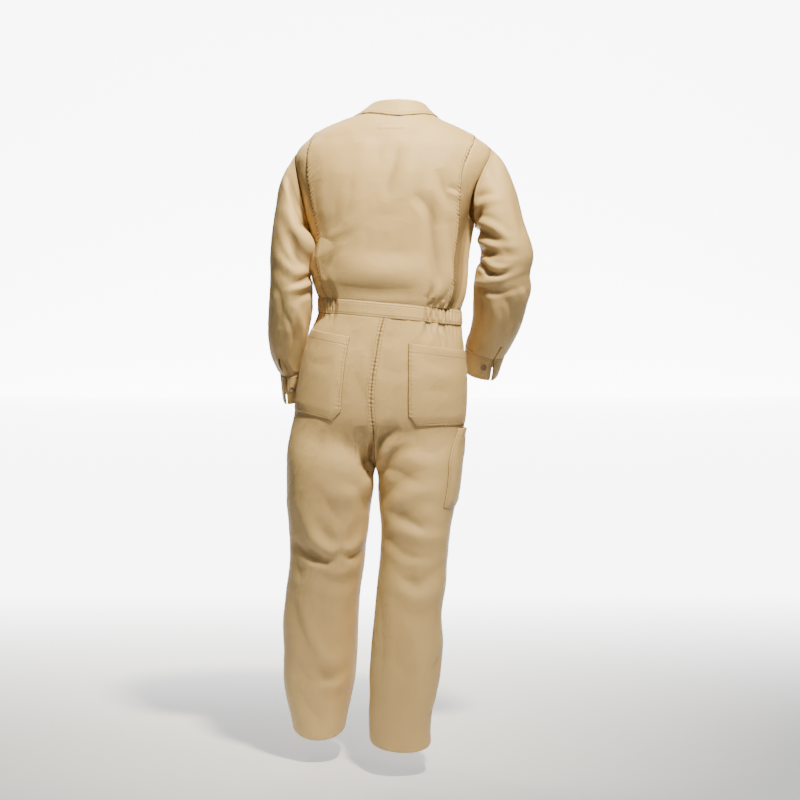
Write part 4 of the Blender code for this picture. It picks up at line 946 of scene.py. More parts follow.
driftAngles = findDrift()


def seamStart(side, height):
    return -signs[side] * np.interp(height, driftHeights, driftAngles)


# A place on the trousers; angles below nought lie on the other leg's side of the seat.
def legPlace(side, around, height):
    around, other = np.abs(around), (around < 0)[..., None]
    return np.where(other, leg(otherSide[side], around, height), leg(side, around, height))


# Ring angles and heights of a trouser panel, from the waist seam down to the hem.
def legGrid(side, first, last, columns):
    share = spread(columns - 1, 0.3)
    edge = size["waistHeight"] - size["bandHalf"]
    start = seamStart(side, edge) if first == 0 else first
    lines = start + (last - start) * share
    top = waistMiddle(seatAngle(side, lines, edge)) - size["bandHalf"]
    seat = np.linspace(0, 1, trouserCells["seat"])[:, None]
    down = np.linspace(0, 1, trouserCells["leg"])[1:, None]
    level = np.full(columns, size["crotch"])
    hem = hemHeight(side, first + (last - first) * share)
    height = np.concatenate([top * (1 - seat) + level * seat, level * (1 - down) + hem * down])
    start = seamStart(side, height[:, :1]) if first == 0 else first
    around = start + (last - start) * share + 0 * height
    if last == 360:
        fade = smoothStep((height[:, -1] - size["flyEnd"] + size["flyClose"]) / size["flyClose"])
        perDegree = (90 + signs[side] * bodyTurn(size["waistHeight"])) / 180
        shift = zipAngle(height[:, -1]) / perDegree * fade
        around = first + (around - first) * (1 - shift[:, None] / (last - first))
        height[0] = waistMiddle(seatAngle(side, around[0], height[0])) - size["bandHalf"]
    return around, height


legBack = [
    (-77, 1091, -68, 1071, -59, 1038, 6.6, -2.7, 0.4, 0.5), (-90, 1088, -91, 1065, -83, 1030, 6.6, 2.2, 0, 0.5),
    (-107, 1083, -116, 1062, -137, 1042, 6.6, -2.7, 0.4, 0.5),
    (187, 1104, 193, 1083, 208, 1062, 6.6, -2.2, 0.3, 0.5), (127, 1095, 109, 1060, 106, 1018, 17.6, -1.6, 0.2, 1),
    (43, 982, 1, 964, -29, 982, 17.6, -1.4, 0.3, 1), (109, 988, 91, 934, 67, 898, 17.6, -1.6, 0.3, 1.1),
    (43, 1065, 7, 1048, -29, 1054, 17.6, -1.4, 0.2, 1), (60, 742, 45, 796, -5, 835, 13.2, -12.2, 0.4, 0.5),
    (53, 723, 25, 778, -41, 802, 13.2, 8.1, 0, 0.6), (49, 717, 7, 729, -77, 681, 15.4, -4.1, 0.3, 0.7),
    (-29, 790, -83, 771, -125, 802, 15.4, -2.2, 0.3, 1), (62, 705, 76, 771, 84, 838, 13.2, -6.7, 0.3, 0.6),
    (62, 729, 97, 748, 145, 802, 15.4, -3, 0.3, 0.5), (67, 705, 121, 669, 187, 693, 19.8, 3.2, 0, 0.6),
    (172, 826, 205, 753, 229, 681, 22, -3.2, 0.3, 1), (-149, 808, -156, 787, -149, 759, 7.7, 3.2, 0.2, 1),
    (223, 1006, 181, 982, 139, 1000, 15.4, -1.2, 0.3, 1), (-41, 1000, -89, 982, -137, 964, 14.3, -1.4, 0.3, 1),
    (-47, 910, -89, 922, -137, 904, 14.3, -1.4, 0.3, 1), (235, 656, 195, 554, 139, 533, 15.4, 7.6, 0.2, 1.2),
    (139, 533, 96, 550, 69, 625, 13.2, 5.9, 0, 0.9), (254, 565, 225, 524, 165, 509, 13.2, -7.6, 0.5, 1),
    (180, 511, 128, 505, 82, 550, 14.3, -5.4, 0.5, 1), (165, 493, 135, 505, 111, 493, 9.9, 4.3, 0, 1),
    (258, 550, 245, 505, 236, 452, 11, -4.3, 0.3, 1), (195, 693, 157, 633, 127, 595, 19.8, -3.5, 0.2, 1),
    (112, 708, 90, 663, 78, 618, 13.2, -3.2, 0.2, 1), (195, 482, 143, 452, 90, 475, 17.6, -2.7, 0.2, 1),
    (262, 452, 241, 346, 196, 263, 19.8, -4.9, 0.4, 1), (236, 422, 203, 300, 135, 240, 19.8, 4.3, 0, 1),
    (250, 270, 211, 209, 128, 225, 17.6, -4.1, 0.4, 1), (226, 232, 166, 193, 105, 232, 15.4, 3.8, 0, 1),
    (248, 209, 226, 149, 181, 103, 14.3, -2.7, 0.3, 1), (120, 331, 107, 270, 111, 194, 12.1, -2.7, 0.3, 1),
    (43, 641, -8, 708, -83, 731, 16.5, -4.6, 0.4, 0.6), (37, 610, -30, 671, -113, 678, 16.5, 4.1, 0, 0.7),
    (33, 633, -30, 610, -83, 565, 14.3, -4.3, 0.4, 0.7), (28, 592, -38, 577, -124, 565, 15.4, 3.8, 0, 0.8),
    (28, 573, -30, 527, -113, 535, 14.3, -4.1, 0.4, 0.8), (25, 527, -30, 467, -113, 512, 19.8, -3.8, 0.3, 1),
    (15, 505, -45, 422, -121, 482, 17.6, 3.5, 0, 1), (43, 452, 37, 331, 43, 179, 9.9, -2.2, 0.2, 1),
    (0, 391, -53, 270, -38, 118, 24.2, 2.4, 0, 1), (-83, 331, -91, 270, -77, 179, 17.6, -2.4, 0.3, 1),
    (-104, 308, -95, 270, -76, 247, 7.7, -3.5, 0.3, 0.6), (-98, 171, -83, 149, -61, 140, 7.7, -3.2, 0.3, 0.6),
]
legFork = [
    (54, 835, 64, 778, 56, 732, 4.5, -10, 0, 1.5),
]
legFront = [
    (20, 760, 80, 790, 150, 830, 9.5, -5.8, 0.4, 0.4), (22, 735, 90, 748, 165, 775, 9.5, 4.8, 0, 0.5),
    (30, 712, 100, 705, 180, 722, 9.5, -5.1, 0.4, 0.4), (12, 780, -30, 805, -80, 835, 9.5, -5.4, 0.4, 0.4),
    (10, 750, -40, 768, -100, 790, 9.5, 4.8, 0, 0.5), (20, 722, -40, 722, -110, 740, 9.5, -4.8, 0.4, 0.4),
    (120, 1060, 112, 1020, 118, 960, 6.6, -4.8, 0.3, 0.5), (90, 1060, 82, 1020, 76, 970, 6.6, 4.2, 0, 0.5),
    (-95, 1050, -88, 1010, -94, 960, 6.6, -4.8, 0.3, 0.5), (-68, 1050, -60, 1010, -58, 965, 6.6, 3.8, 0, 0.5),
    (100, 960, 60, 900, 20, 850, 11.4, -3.8, 0.3, 1), (-80, 950, -40, 900, -5, 850, 11.4, -3.8, 0.3, 1),
    (88, 560, 160, 545, 255, 572, 11.4, -7, 0.5, 1), (88, 530, 160, 512, 255, 536, 10.4, 5.8, 0, 1),
    (90, 506, 165, 482, 258, 500, 10.4, -6.1, 0.4, 1), (100, 468, 150, 452, 220, 462, 9.5, 4.2, 0, 1),
    (180, 680, 195, 620, 188, 570, 11.4, -4.2, 0.2, 1), (120, 660, 128, 610, 118, 570, 11.4, 3.5, 0, 1),
    (150, 430, 165, 350, 150, 270, 13.3, -4.2, 0.2, 1), (210, 420, 225, 340, 215, 260, 13.3, 3.8, 0, 1),
    (110, 240, 180, 205, 268, 222, 10.4, -5.8, 0.4, 1), (120, 205, 190, 176, 270, 190, 10.4, 5.4, 0, 1),
    (125, 180, 190, 148, 268, 160, 9.5, -5.8, 0.4, 1), (-118, 560, -50, 545, 30, 570, 11.4, -6.7, 0.5, 1),
    (-118, 528, -50, 512, 32, 535, 10.4, 5.4, 0, 1), (-112, 500, -45, 482, 34, 500, 10.4, -5.8, 0.4, 1),
    (-80, 680, -70, 620, -82, 575, 11.4, -3.8, 0.2, 1), (-20, 670, -12, 610, -22, 570, 11.4, 3.5, 0, 1),
    (-60, 430, -45, 350, -58, 270, 13.3, -4.2, 0.2, 1), (10, 420, 22, 340, 12, 260, 13.3, 3.8, 0, 1),
    (-95, 250, -20, 212, 60, 230, 10.4, -5.8, 0.4, 1), (-90, 215, -20, 184, 60, 196, 10.4, 5.4, 0, 1),
    (-85, 186, -15, 156, 62, 168, 9.5, -5.8, 0.4, 1),
]


# Places and normals of the trousers; the halves share their normals at the seat seam.
def legForm(side, around, height):
    def normalsOf(which):
        return formNormals(lambda a, h: leg(which, a, h), np.abs(around), height, -signs[which])

    own, opposite = normalsOf(side), normalsOf(otherSide[side])
    normals = np.where((around < 0)[..., None], opposite, own)
    onEdge = (np.abs(around) < 1) | (around > 359)
    atSeam = onEdge & (height > size["crotch"] + 0.001)
    normals = np.where(atSeam[..., None], unit(own + opposite), normals)
    atFork = onEdge & (np.abs(height - size["crotch"]) <= 0.001)
    normals = np.where(atFork[..., None], np.array((0.0, 0.0, -1.0)), normals)
    return legPlace(side, around, height), normals


def legRelief(side, around, height, base, normals):
    away = np.minimum(np.abs(around - seamStart(side, height)), 360 - around)
    near = smoothStep(away / 10) * 0.9 + 0.1
    folds = relief(base, normals, legBack, legFront, 31 if side == "left" else 37)
    slit = creases(legFork, base[..., 0], base[..., 2]) * facing(normals)
    return size["wall"] + folds * near + slit + ruches(seatAngle(side, around, height), height)


def legSurface(side, around, height, lift=0.0):
    base, normals = legForm(side, around, height)
    total = legRelief(side, around, height, base, normals) + lift
    return base + normals * total[..., None], normals


trouserSeam = {"strip": {"left": 0.0100, "right": 0}, "ripple": (0.0008, 0.0065), "lap": (1.6, 2.6),
               "under": 0.0014, "sink": (0.0006, 0.003), "hem": 0.024}
forkEase = {"passes": 60, "share": 0.7, "start": 14.0, "end": (150.0, 40.0), "high": 0.035}
trouserCells = {"seat": 220, "leg": 130, "back": 116, "front": 64}


def buildTrousers(finish):
    for side in signs:
        for name, first, last in (("back", 0, 180), ("front", 180, 360)):
            around, height = legGrid(side, first, last, trouserCells[name])
            high = smoothStep((height - size["crotch"]) / 0.03)
            lift = np.zeros(around.shape)
            if name == "front":
                under = np.exp(-((around - 180) / trouserSeam["lap"][1]) ** 2)
                around = around - trouserSeam["lap"][0] * under
                lift = lift - trouserSeam["under"] * under
            else:
                base = legPlace(side, around, height)
                across, strip = arcs(base, 1), trouserSeam["strip"][side]
                lift = lift + felledSeam(across, arcs(base, 0), 41, strip, *trouserSeam["ripple"]) * high
                if not strip:  # the seam's lower side
                    deep, wide = trouserSeam["sink"]
                    lift = lift - deep * np.exp(-(across / wide) ** 2) * high
            base, normals = legForm(side, around, height)
            turned = np.minimum(np.abs(around), 360 - around)
            end, over = forkEase["end"]
            soft = smoothStep(turned / forkEase["start"]) * smoothStep((end - turned) / over)
            soft = (soft * np.exp(-((height - size["crotch"]) / forkEase["high"]) ** 2))[1:-1, :, None]
            for _ in range(forkEase["passes"]):  # eases the sharp turn of the fork
                middle = (base[:-2] + base[2:]) / 2
                base[1:-1] += (middle - base[1:-1]) * forkEase["share"] * soft
            total = legRelief(side, around, height, base, normals) + lift
            clothPiece(f"trouser_{name}_{side}", base + normals * total[..., None], normals, finish,
                       sewn="" if name == "front" else "lr", hem=("Bottom", trouserSeam["hem"]))


# Heights of each pocket's inner and outer edge at the top, the mitres and the bottom.
backPockets = {
    "left": {"inner": (1.039, 0.868, 0.841), "outer": (1.0675, 0.905, 0.885), "lean": 5.5, "drop": 0.013},
    "right": {"inner": (1.046, 0.856, 0.828), "outer": (1.013, 0.850, 0.828), "lean": -1.5, "drop": -0.007},
}
pocketSize = {"inner": 44.0, "outer": 165.0, "cut": (12.5, 8.0), "mitreAt": 0.865, "stand": 0.0018,
              "puff": 0.0032, "gape": 0.0030, "edge": 0.16, "ripple": 0.0007, "hem": 0.0205}


def buildBackPockets(finish):
    for side, rows in backPockets.items():
        down = np.linspace(0, 1, 84)[:, None]
        share = np.linspace(0, 1, 62)[None]
        corner = np.clip((down - pocketSize["mitreAt"]) / (1 - pocketSize["mitreAt"]), 0, 1)
        inner = pocketSize["inner"] - rows["lean"] * (1 - down) + pocketSize["cut"][0] * corner
        outer = pocketSize["outer"] - pocketSize["cut"][1] * corner
        around = inner + (outer - inner) * share
        at = (0, pocketSize["mitreAt"], 1)
        centre, flank = (np.interp(down, at, rows[name]) for name in ("inner", "outer"))
        height = centre + (flank - centre) * np.sin(np.radians(around) / 2) - rows["drop"] * down
        edge = np.minimum(np.minimum(share, 1 - share), 1 - down) / pocketSize["edge"]
        lift = size["wall"] * 0.6 + pocketSize["stand"] * smoothStep(edge * 8)
        lift = lift + pocketSize["puff"] * smoothStep(edge) * smoothStep(down / 0.5 + 0.3)
        lift = lift + pocketSize["gape"] * np.exp(-(down / 0.10) ** 2) * np.sin(np.pi * share) ** 1.5
        base = leg(side, around, height)
        across, run = arcs(base, 1), arcs(base, 0)
        for distance, along, seed in ((across, run, 71), (across[:, -1:] - across, run, 72),
                                      (run[-1:] - run, across, 73)):
            lift = lift + felledSeam(distance, along, seed, 0, ripple=pocketSize["ripple"])
        points, normals = legSurface(side, around, height, lift)
        clothPiece("back_pocket_" + side, points, normals, finish, sewn="lrb", hem=("Top", pocketSize["hem"]))


rulePocket = {"inner": 130.0, "outer": 178.5, "lean": 3.0, "cut": 8.0, "top": 0.829, "bottom": 0.637,
              "stand": 0.0016, "puff": 0.004, "gape": 0.004, "bulge": 0.007, "hem": 0.020}


def buildRulePocket(finish):
    down = np.linspace(0, 1, 52)[:, None]
    share = np.linspace(0, 1, 26)[None]
    inner = rulePocket["inner"] + rulePocket["lean"] * (1 - down)
    outer = rulePocket["outer"] - rulePocket["cut"] * (1 - smoothStep(down / 0.30))
    around = inner + (outer - inner) * share
    height = rulePocket["top"] + (rulePocket["bottom"] - rulePocket["top"]) * down + 0 * share
    edge = np.minimum(np.minimum(share, 1 - share) / 0.3, (1 - down) / 0.12)
    lift = size["wall"] * 0.6 + rulePocket["stand"] * smoothStep(edge * 8) + rulePocket["puff"] * smoothStep(edge)
    lift = lift + rulePocket["gape"] * np.exp(-(down / 0.14) ** 2) * np.sin(np.pi * share)
    lift = lift + rulePocket["bulge"] * np.exp(-((down - 0.32) / 0.15) ** 2) * share ** 3
    points, normals = legSurface("right", around, height, lift)
    clothPiece("rule_pocket", points, normals, finish, sewn="lrb", hem=("Top", rulePocket["hem"]))


welt = {"topAround": 262.0, "endAround": 200.0, "top": 1.045, "end": 0.905, "turn": 3.0, "width": 0.020,
        "lift": 0.0022, "thick": 0.0016}


def buildWelts(finish):
    share = np.linspace(0, 1, 60)[:, None]
    across = np.linspace(-0.5, 0.5, 10)[None]
    around = welt["topAround"] + (welt["endAround"] - welt["topAround"]) * share + welt["turn"] * across
    height = welt["top"] + (welt["end"] - welt["top"]) * share + welt["width"] * across
    edge = np.minimum(np.minimum(share, 1 - share) / 0.02, (0.5 - np.abs(across)) / 0.12)
    lift = size["wall"] * 0.7 + welt["lift"] * smoothStep(edge)
    for side in signs:
        points, normals = legSurface(side, around, height, lift)
        clothPiece("front_pocket_" + side, points, normals, finish, sewn="lr", thick=welt["thick"])


# Places that lie on the torso, lifted off it.
def lyingOn(across, depth, lift):
    angle, height = onTorso(across, depth)
    return torso(angle, height) + formNormals(torso, angle, height, -1) * lift


collar = {
    "angle": (0, 45, 90, 135, 165, 180),
    "fold": (1.6195, 1.6155, 1.6035, 1.586, 1.571, 1.566),
    "middle": 0.0,
    "across": 0.0655,
    "back": 0.054,
    "front": -0.073,
    "turn": 0.0046,
    "reach": 0.004,
    "belly": 0.0012,
    "spread": 0.13,
    "clear": 0.0044,
    "rest": 0.85,
    "lap": 0.0037,
    "thick": 0.0015,
    "fall": (0.55, 0.30),  # where the loose part starts and over what share it settles
    "flutter": ((0.0006, 0.016, 4, 51), (0.0009, 0.05, 2, 52)),
}


def buildCollar(finish):
    turns = np.linspace(neckFront - 180, 180 - neckFront, 260)
    wide = turns * (1 - collar["spread"] * smoothStep((np.abs(turns) - 90) / 90))
    base = lyingOn(*ovalPlace(neckOval, turns), collar["lap"])
    turn = np.radians(turns)
    fold = np.stack([*ovalPlace(collar, turns), column(collar, "fold", np.abs(turns), "angle")], axis=-1)
    out = np.stack([np.sin(turn), np.cos(turn), 0 * turn], axis=-1)
    rise = unit(fold - base)
    off = unit(out * rise[:, 2:3] - np.array((0.0, 0.0, 1.0)) * (rise * out).sum(axis=-1, keepdims=True))
    low = fold - rise * collar["reach"]
    start = low + off * collar["turn"]
    rows = [base + (low - base) * share for share in np.linspace(0, 1, 8)]
    for bend in np.linspace(0, np.pi, 9)[1:]:
        rows.append(low + off * collar["turn"] * (1 - math.cos(bend)) / 2 + rise * collar["reach"] * math.sin(bend))
    inner = np.array(ovalPlace(neckOval, turns))
    outer = np.array(ovalPlace(collarOval, wide))
    for share in np.linspace(0, 1, 18)[1:]:
        lying = lyingOn(*(inner + (outer - inner) * share), collar["clear"])
        rest = smoothStep(share / collar["rest"])
        rows.append(start * (1 - rest) + lying * rest + out * collar["belly"] * math.sin(math.pi * share))
    points = np.array(rows)
    normals = unit(np.cross(np.gradient(points, axis=1), np.gradient(points, axis=0)))
    down = np.linspace(0, 1, len(rows))[:, None] + 0 * turns
    run = arcs(points, 1)
    fall = smoothStep((down - collar["fall"][0]) / collar["fall"][1])
    lift = fall * sum(high * softNoise(run / wide, down * rate, seed) for high, wide, rate, seed in collar["flutter"])
    clothPiece("collar", points + normals * lift[..., None], normals, finish, sewn="lrb", thick=collar["thick"])


sleeveBack = [
    (225, 1318, 205, 1260, 197, 1216, 19, 25.6, 0, 1), (269, 1445, 250, 1388, 225, 1345, 8, -5.8, 0.4, 0.8),
    (247, 1479, 240, 1425, 231, 1378, 7, 4.2, 0.2, 0.9), (284, 1341, 247, 1250, 209, 1216, 10, -5.4, 0.5, 1.2),
    (271, 1365, 230, 1281, 203, 1244, 9, 4.5, 0, 1.1), (301, 1270, 264, 1216, 217, 1200, 10, 3.8, -0.3, 1.3),
    (264, 1173, 227, 1187, 200, 1206, 7, -6.7, 0.4, 1.5), (285, 1156, 237, 1168, 203, 1183, 7, 4.8, -0.2, 1.4),
    (271, 1129, 231, 1146, 200, 1163, 7, -4.2, 0.3, 1.5), (295, 1176, 281, 1122, 288, 1068, 9, -3.5, 0.2, 1),
    (247, 1129, 254, 1088, 271, 1041, 8, 3.8, 0, 1), (275, 1108, 254, 1047, 276, 980, 8, -4.2, 0.3, 1),
    (251, 1126, 233, 1065, 251, 986, 7, 3.2, 0.2, 1), (300, 1041, 291, 992, 270, 956, 6, 4.2, 0.2, 1.3),
    (294, 1022, 279, 980, 260, 949, 5, -4.2, 0.2, 1.3), (-166, 1361, -190, 1386, -236, 1392, 7, -6.7, 0.5, 0.4),
    (-170, 1345, -202, 1368, -256, 1378, 8, 5.1, 0, 0.5), (-167, 1311, -205, 1297, -271, 1244, 8, -7.4, 0.5, 0.45),
    (-170, 1324, -222, 1314, -283, 1264, 9, 5.4, 0, 0.5), (-181, 1281, -212, 1249, -297, 1242, 7, -6.7, 0.4, 0.5),
    (-185, 1291, -229, 1270, -300, 1264, 8, 5.4, 0, 0.6), (-197, 1233, -229, 1198, -271, 1206, 6, -7.4, 0.3, 0.6),
    (-202, 1244, -237, 1216, -277, 1223, 7, 4.8, 0, 0.7), (-206, 1206, -219, 1198, -229, 1206, 5, -6.4, 0.2, 1),
    (-188, 1183, -229, 1183, -300, 1210, 8, 4.8, 0, 0.6), (-189, 1173, -243, 1156, -307, 1176, 8, -4.2, 0.3, 0.7),
    (-190, 1176, -200, 1122, -188, 1054, 8, -4.2, 0.2, 1), (-230, 1163, -272, 1115, -264, 1054, 9, -3.8, 0.3, 1),
    (-209, 1163, -236, 1109, -230, 1054, 9, 3.8, 0, 1), (-182, 1472, -192, 1432, -182, 1392, 8, -4.2, 0.3, 1),
    (-209, 1486, -229, 1445, -242, 1392, 10, -3.2, 0.2, 1), (-270, 1405, -290, 1338, -300, 1270, 9, -3.2, 0.3, 1),
    (-283, 1176, -301, 1135, -291, 1075, 8, 3.2, 0, 1),
]
sleeveFront = [
    (222, 1300, 255, 1330, 285, 1370, 8.5, -6.1, 0.4, 0.5), (222, 1270, 262, 1290, 298, 1320, 8.5, 4.8, 0, 0.6),
    (218, 1245, 255, 1236, 300, 1262, 8.1, -6.4, 0.4, 0.5), (214, 1212, 255, 1196, 305, 1214, 8.1, 5.8, 0, 0.6),
    (213, 1190, 256, 1168, 306, 1184, 7.6, -7.4, 0.4, 0.6), (213, 1160, 258, 1140, 308, 1158, 7.6, 5.8, 0, 0.6),
    (214, 1142, 262, 1118, 310, 1128, 7.6, -6.7, 0.3, 0.7), (240, 1100, 262, 1060, 252, 1010, 8.5, -3.8, 0.2, 1),
    (280, 1100, 290, 1050, 276, 1000, 8.5, 3.5, 0, 1), (232, 990, 250, 1005, 272, 1010, 5.7, -3.2, 0.3, 0.8),
    (262, 1420, 276, 1380, 284, 1330, 10.4, -3.5, 0.2, 1),
    (-200, 1320, -232, 1345, -262, 1385, 8.5, -6.1, 0.4, 0.5),
    (-202, 1292, -245, 1310, -285, 1340, 8.5, 4.8, 0, 0.6),
    (-204, 1270, -250, 1262, -298, 1290, 8.1, -6.4, 0.4, 0.5),
    (-205, 1246, -255, 1230, -312, 1250, 8.1, 6.1, 0, 0.6),
    (-204, 1232, -255, 1206, -318, 1218, 7.6, -7.7, 0.4, 0.6),
    (-196, 1206, -250, 1180, -316, 1196, 7.6, 6.1, 0, 0.6),
    (-190, 1186, -245, 1158, -310, 1170, 7.6, -7, 0.3, 0.7),
    (-200, 1140, -228, 1110, -222, 1060, 8.5, -3.8, 0.2, 1), (-262, 1140, -276, 1100, -262, 1060, 8.5, 3.5, 0, 1),
    (-236, 1440, -252, 1400, -262, 1350, 10.4, -3.5, 0.2, 1),
]
slit = {"angle": 61.0, "half": 2.0, "stations": 2.2}
cuff = {"upper": 0.007, "under": 0.004, "proud": 0.0012, "lap": 0.05, "thick": 0.0022, "tuck": 0.0012}


def sleeveSurface(side, around, station, lift=0.0):
    around, station = np.broadcast_arrays(np.asarray(around, float), np.asarray(station, float))
    inside = np.maximum(station, 0.02)
    normals = formNormals(lambda a, t: sleeve(side, a, t), around, inside, -signs[side], 0.5, 0.015)
    base = sleeve(side, around, station)
    fade = smoothStep(station / 0.5) * (0.35 + 0.65 * smoothStep((cuffSeam[side] - station) / 0.5))
    folds = relief(base, normals, sleeveBack, sleeveFront, 61 if side == "left" else 67)
    return base + normals * (size["wall"] + lift + folds * fade)[..., None], normals


def buildSleeves(finish):
    before = np.linspace(180, 360 + slit["angle"] - slit["half"], 76)
    lines = np.concatenate([before, np.linspace(360 + slit["angle"] + slit["half"], 540, 40)])
    for side in signs:
        end = cuffSeam[side]
        stations = np.concatenate([np.linspace(0, 1, 16), np.linspace(1, end - slit["stations"], 100)[1:],
                                   np.linspace(end - slit["stations"], end + 0.06, 36)[1:]])
        tuck = -cuff["tuck"] * smoothStep((stations - end + 0.06) / 0.08)[:, None]
        points, normals = sleeveSurface(side, lines[None], stations[:, None], tuck)
        skip = np.zeros((len(stations) - 1, len(lines) - 1), bool)
        skip[(stations[:-1] > end - slit["stations"]) & (stations[:-1] < end - 0.02), len(before) - 1] = True
        clothPiece("sleeve_" + side, points, normals, finish, sewn="lrt", skip=skip)


# A cuff left unfastened: its two ends stand off a little.
def cuffSurface(side, around, share, lift=0.0):
    around, share = np.broadcast_arrays(np.asarray(around, float), np.asarray(share, float))
    first = np.exp(-((around - slit["angle"]) / 26) ** 2)
    last = np.exp(-((around - 360 - slit["angle"]) / 26) ** 2)
    stand = (cuff["upper"] * last + cuff["under"] * first) * smoothStep(share * 1.4)
    return sleeveSurface(side, around, cuffSeam[side] + share, stand + lift)


def buildCuffs(finish, horn):
    half = slit["half"] - 0.5
    lines = np.linspace(slit["angle"] + half, 360 + slit["angle"] - half, 120)[None]
    share = np.linspace(-cuff["lap"], 1, 26)[:, None]
    edge = np.minimum(share + cuff["lap"], 1 - share) / 0.06
    lift = cuff["proud"] * smoothStep(edge) + 0.0004
    for side in signs:
        points, normals = cuffSurface(side, lines, share, lift)
        clothPiece("cuff_" + side, points, normals, finish, sewn="lrtb", thick=cuff["thick"])
        place, out = cuffSurface(side, lines[:, 8:9], np.array([[0.5]]), cuff["proud"])
        buildButton("cuff_button_" + side, Vector(place[0, 0]) - Vector((0, 0, size["neckHeight"])),
                    Vector(out[0, 0]), horn)


button = {"radius": 0.0075, "rim": 0.0011, "thick": 0.003, "back": 0.0022, "steps": 40}


# A plain button: a turned profile spun round its axis.
def buildButton(node, place, out, finish):
    shape = bmesh.new()
    radius, rim, thick = button["radius"], button["rim"], button["thick"]
    profile = ((0.0001, 0.0009), (radius - 2.2 * rim, 0.0009), (radius - 1.5 * rim, 0.0017),
               (radius - 0.6 * rim, 0.0022), (radius - 0.15 * rim, 0.0019), (radius, 0.0011),
               (radius - 0.5 * rim, 0.0004), (radius - 2 * rim, 0.0))
    verts = [shape.verts.new((x, 0.0, z)) for x, z in profile]
    edges = [shape.edges.new(pair) for pair in zip(verts, verts[1:])]
    bmesh.ops.spin(shape, geom=verts + edges, cent=(0, 0, 0), axis=(0, 0, 1), angle=math.tau,
                   steps=button["steps"], use_merge=True)
    bmesh.ops.remove_doubles(shape, verts=shape.verts[:], dist=0.00005)
    bmesh.ops.holes_fill(shape, edges=shape.edges[:], sides=64)
    bmesh.ops.recalc_face_normals(shape, faces=shape.faces[:])
    turn = out.to_track_quat("Z", "Y").to_matrix().to_4x4()
    turn.translation = place + out * (thick - button["back"])
    bmesh.ops.transform(shape, matrix=turn, verts=shape.verts[:])
    piece = meshPiece(node, shape, finish)
    piece.data.shade_smooth()
    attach(piece, "suit")
    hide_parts(node)


zipSize = {"tape": 0.014, "thick": 0.0009, "sink": 0.0026, "toothSink": 0.0018, "inset": 0.004, "pitch": 0.0013,
           "tooth": (0.0036, 0.0011, 0.0018), "aside": 0.0011}


# Places and normals on the zip, at an offset to the left of its middle line.
def zipSurface(offset, height, lift):
    perDegree = (90 + np.where(offset >= 0, 1, -1) * bodyTurn(height)) / 180
    around = 360 - np.degrees(np.abs(offset) / torsoRing(height)[1]) / perDegree
    left, right = (legSurface(side, around, height, lift) for side in signs)
    here = (offset >= 0)[..., None]
    return np.where(here, left[0], right[0]), np.where(here, left[1], right[1])


def buildZip(tapeFinish, brass):
    top = onTorso(*ovalPlace(neckOval, np.array((180.0,))))[1][0] - zipSize["inset"]
    height = np.linspace(top, size["flyEnd"] + zipSize["inset"], 180)[:, None]
    offset, height = np.broadcast_arrays(np.linspace(-zipSize["tape"], zipSize["tape"], 29)[None], height)
    points, normals = zipSurface(offset, height, -zipSize["sink"])
    clothPiece("zip_tape", points, normals, tapeFinish, thick=zipSize["thick"])
    line = np.linspace(top - 0.002, size["flyEnd"] + 0.008, 900)
    places, outs = zipSurface(0 * line, line, -zipSize["toothSink"])
    run = pathRun(places)
    shape = bmesh.new()

    def at(distance, values):
        return Vector([np.interp(distance, run, values[:, axis]) for axis in range(3)])

    for k in range(int(run[-1] / zipSize["pitch"])):
        along = (k + 0.5) * zipSize["pitch"]
        place, out = at(along, places), at(along, outs).normalized()
        down = (at(along + 0.002, places) - place).normalized()
        side = down.cross(out).normalized() * (1 if k % 2 else -1)
        tooth = Matrix((side, down, out)).transposed().to_4x4()
        tooth.translation = place + side * zipSize["aside"] - Vector((0, 0, size["neckHeight"]))
        bmesh.ops.create_cube(shape, size=1.0, matrix=tooth @ Matrix.Diagonal((*zipSize["tooth"], 1)))
    teeth = meshPiece("zip_teeth", shape, brass)
    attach(teeth, "suit")


# Lamps: place, aim, tint, width, spread in degrees and power. The paper glows from low to high between two
# distances from the camera.
studio = {
    "place": (-0.0049, 4.6, -0.505),
    "down": 2.32,
    "lens": 84.51,
    "lamps": {
        "key": ((-0.62, 1.60, 2.15), (0.03, 0.1, -0.14), (1.0, 0.92, 0.70), 0.26, 42.0, 19.5),
        "fill": ((-1.7, 2.4, -0.7), (0.0, 0.0, -1.1), (1.0, 0.94, 0.84), 0.7, 60.0, 1.2),
        "front": ((1.2, -1.5, 1.3), (0.0, -0.1, -0.2), (1.0, 0.95, 0.88), 0.6, 60.0, 4.0),
    },
    "sky": (0.16, 0.08, (0.92, 0.96, 1.0)),
    "paper": (0.5, 7.0, 4.6, 7.6),
    "floor": 27.0,
    "wall": {"at": -24.0, "half": 6.4, "glow": 7.0},
}


# A square sheet of lit paper of the stage.
def stagePaper(name, half, finish, turn, place):
    shape = bmesh.new()
    bmesh.ops.create_grid(shape, x_segments=1, y_segments=1, size=half)
    bmesh.ops.rotate(shape, matrix=Matrix.Rotation(math.radians(turn), 3, "X"), verts=shape.verts[:])
    bmesh.ops.translate(shape, vec=place, verts=shape.verts[:])
    meshPiece(name, shape, finish)


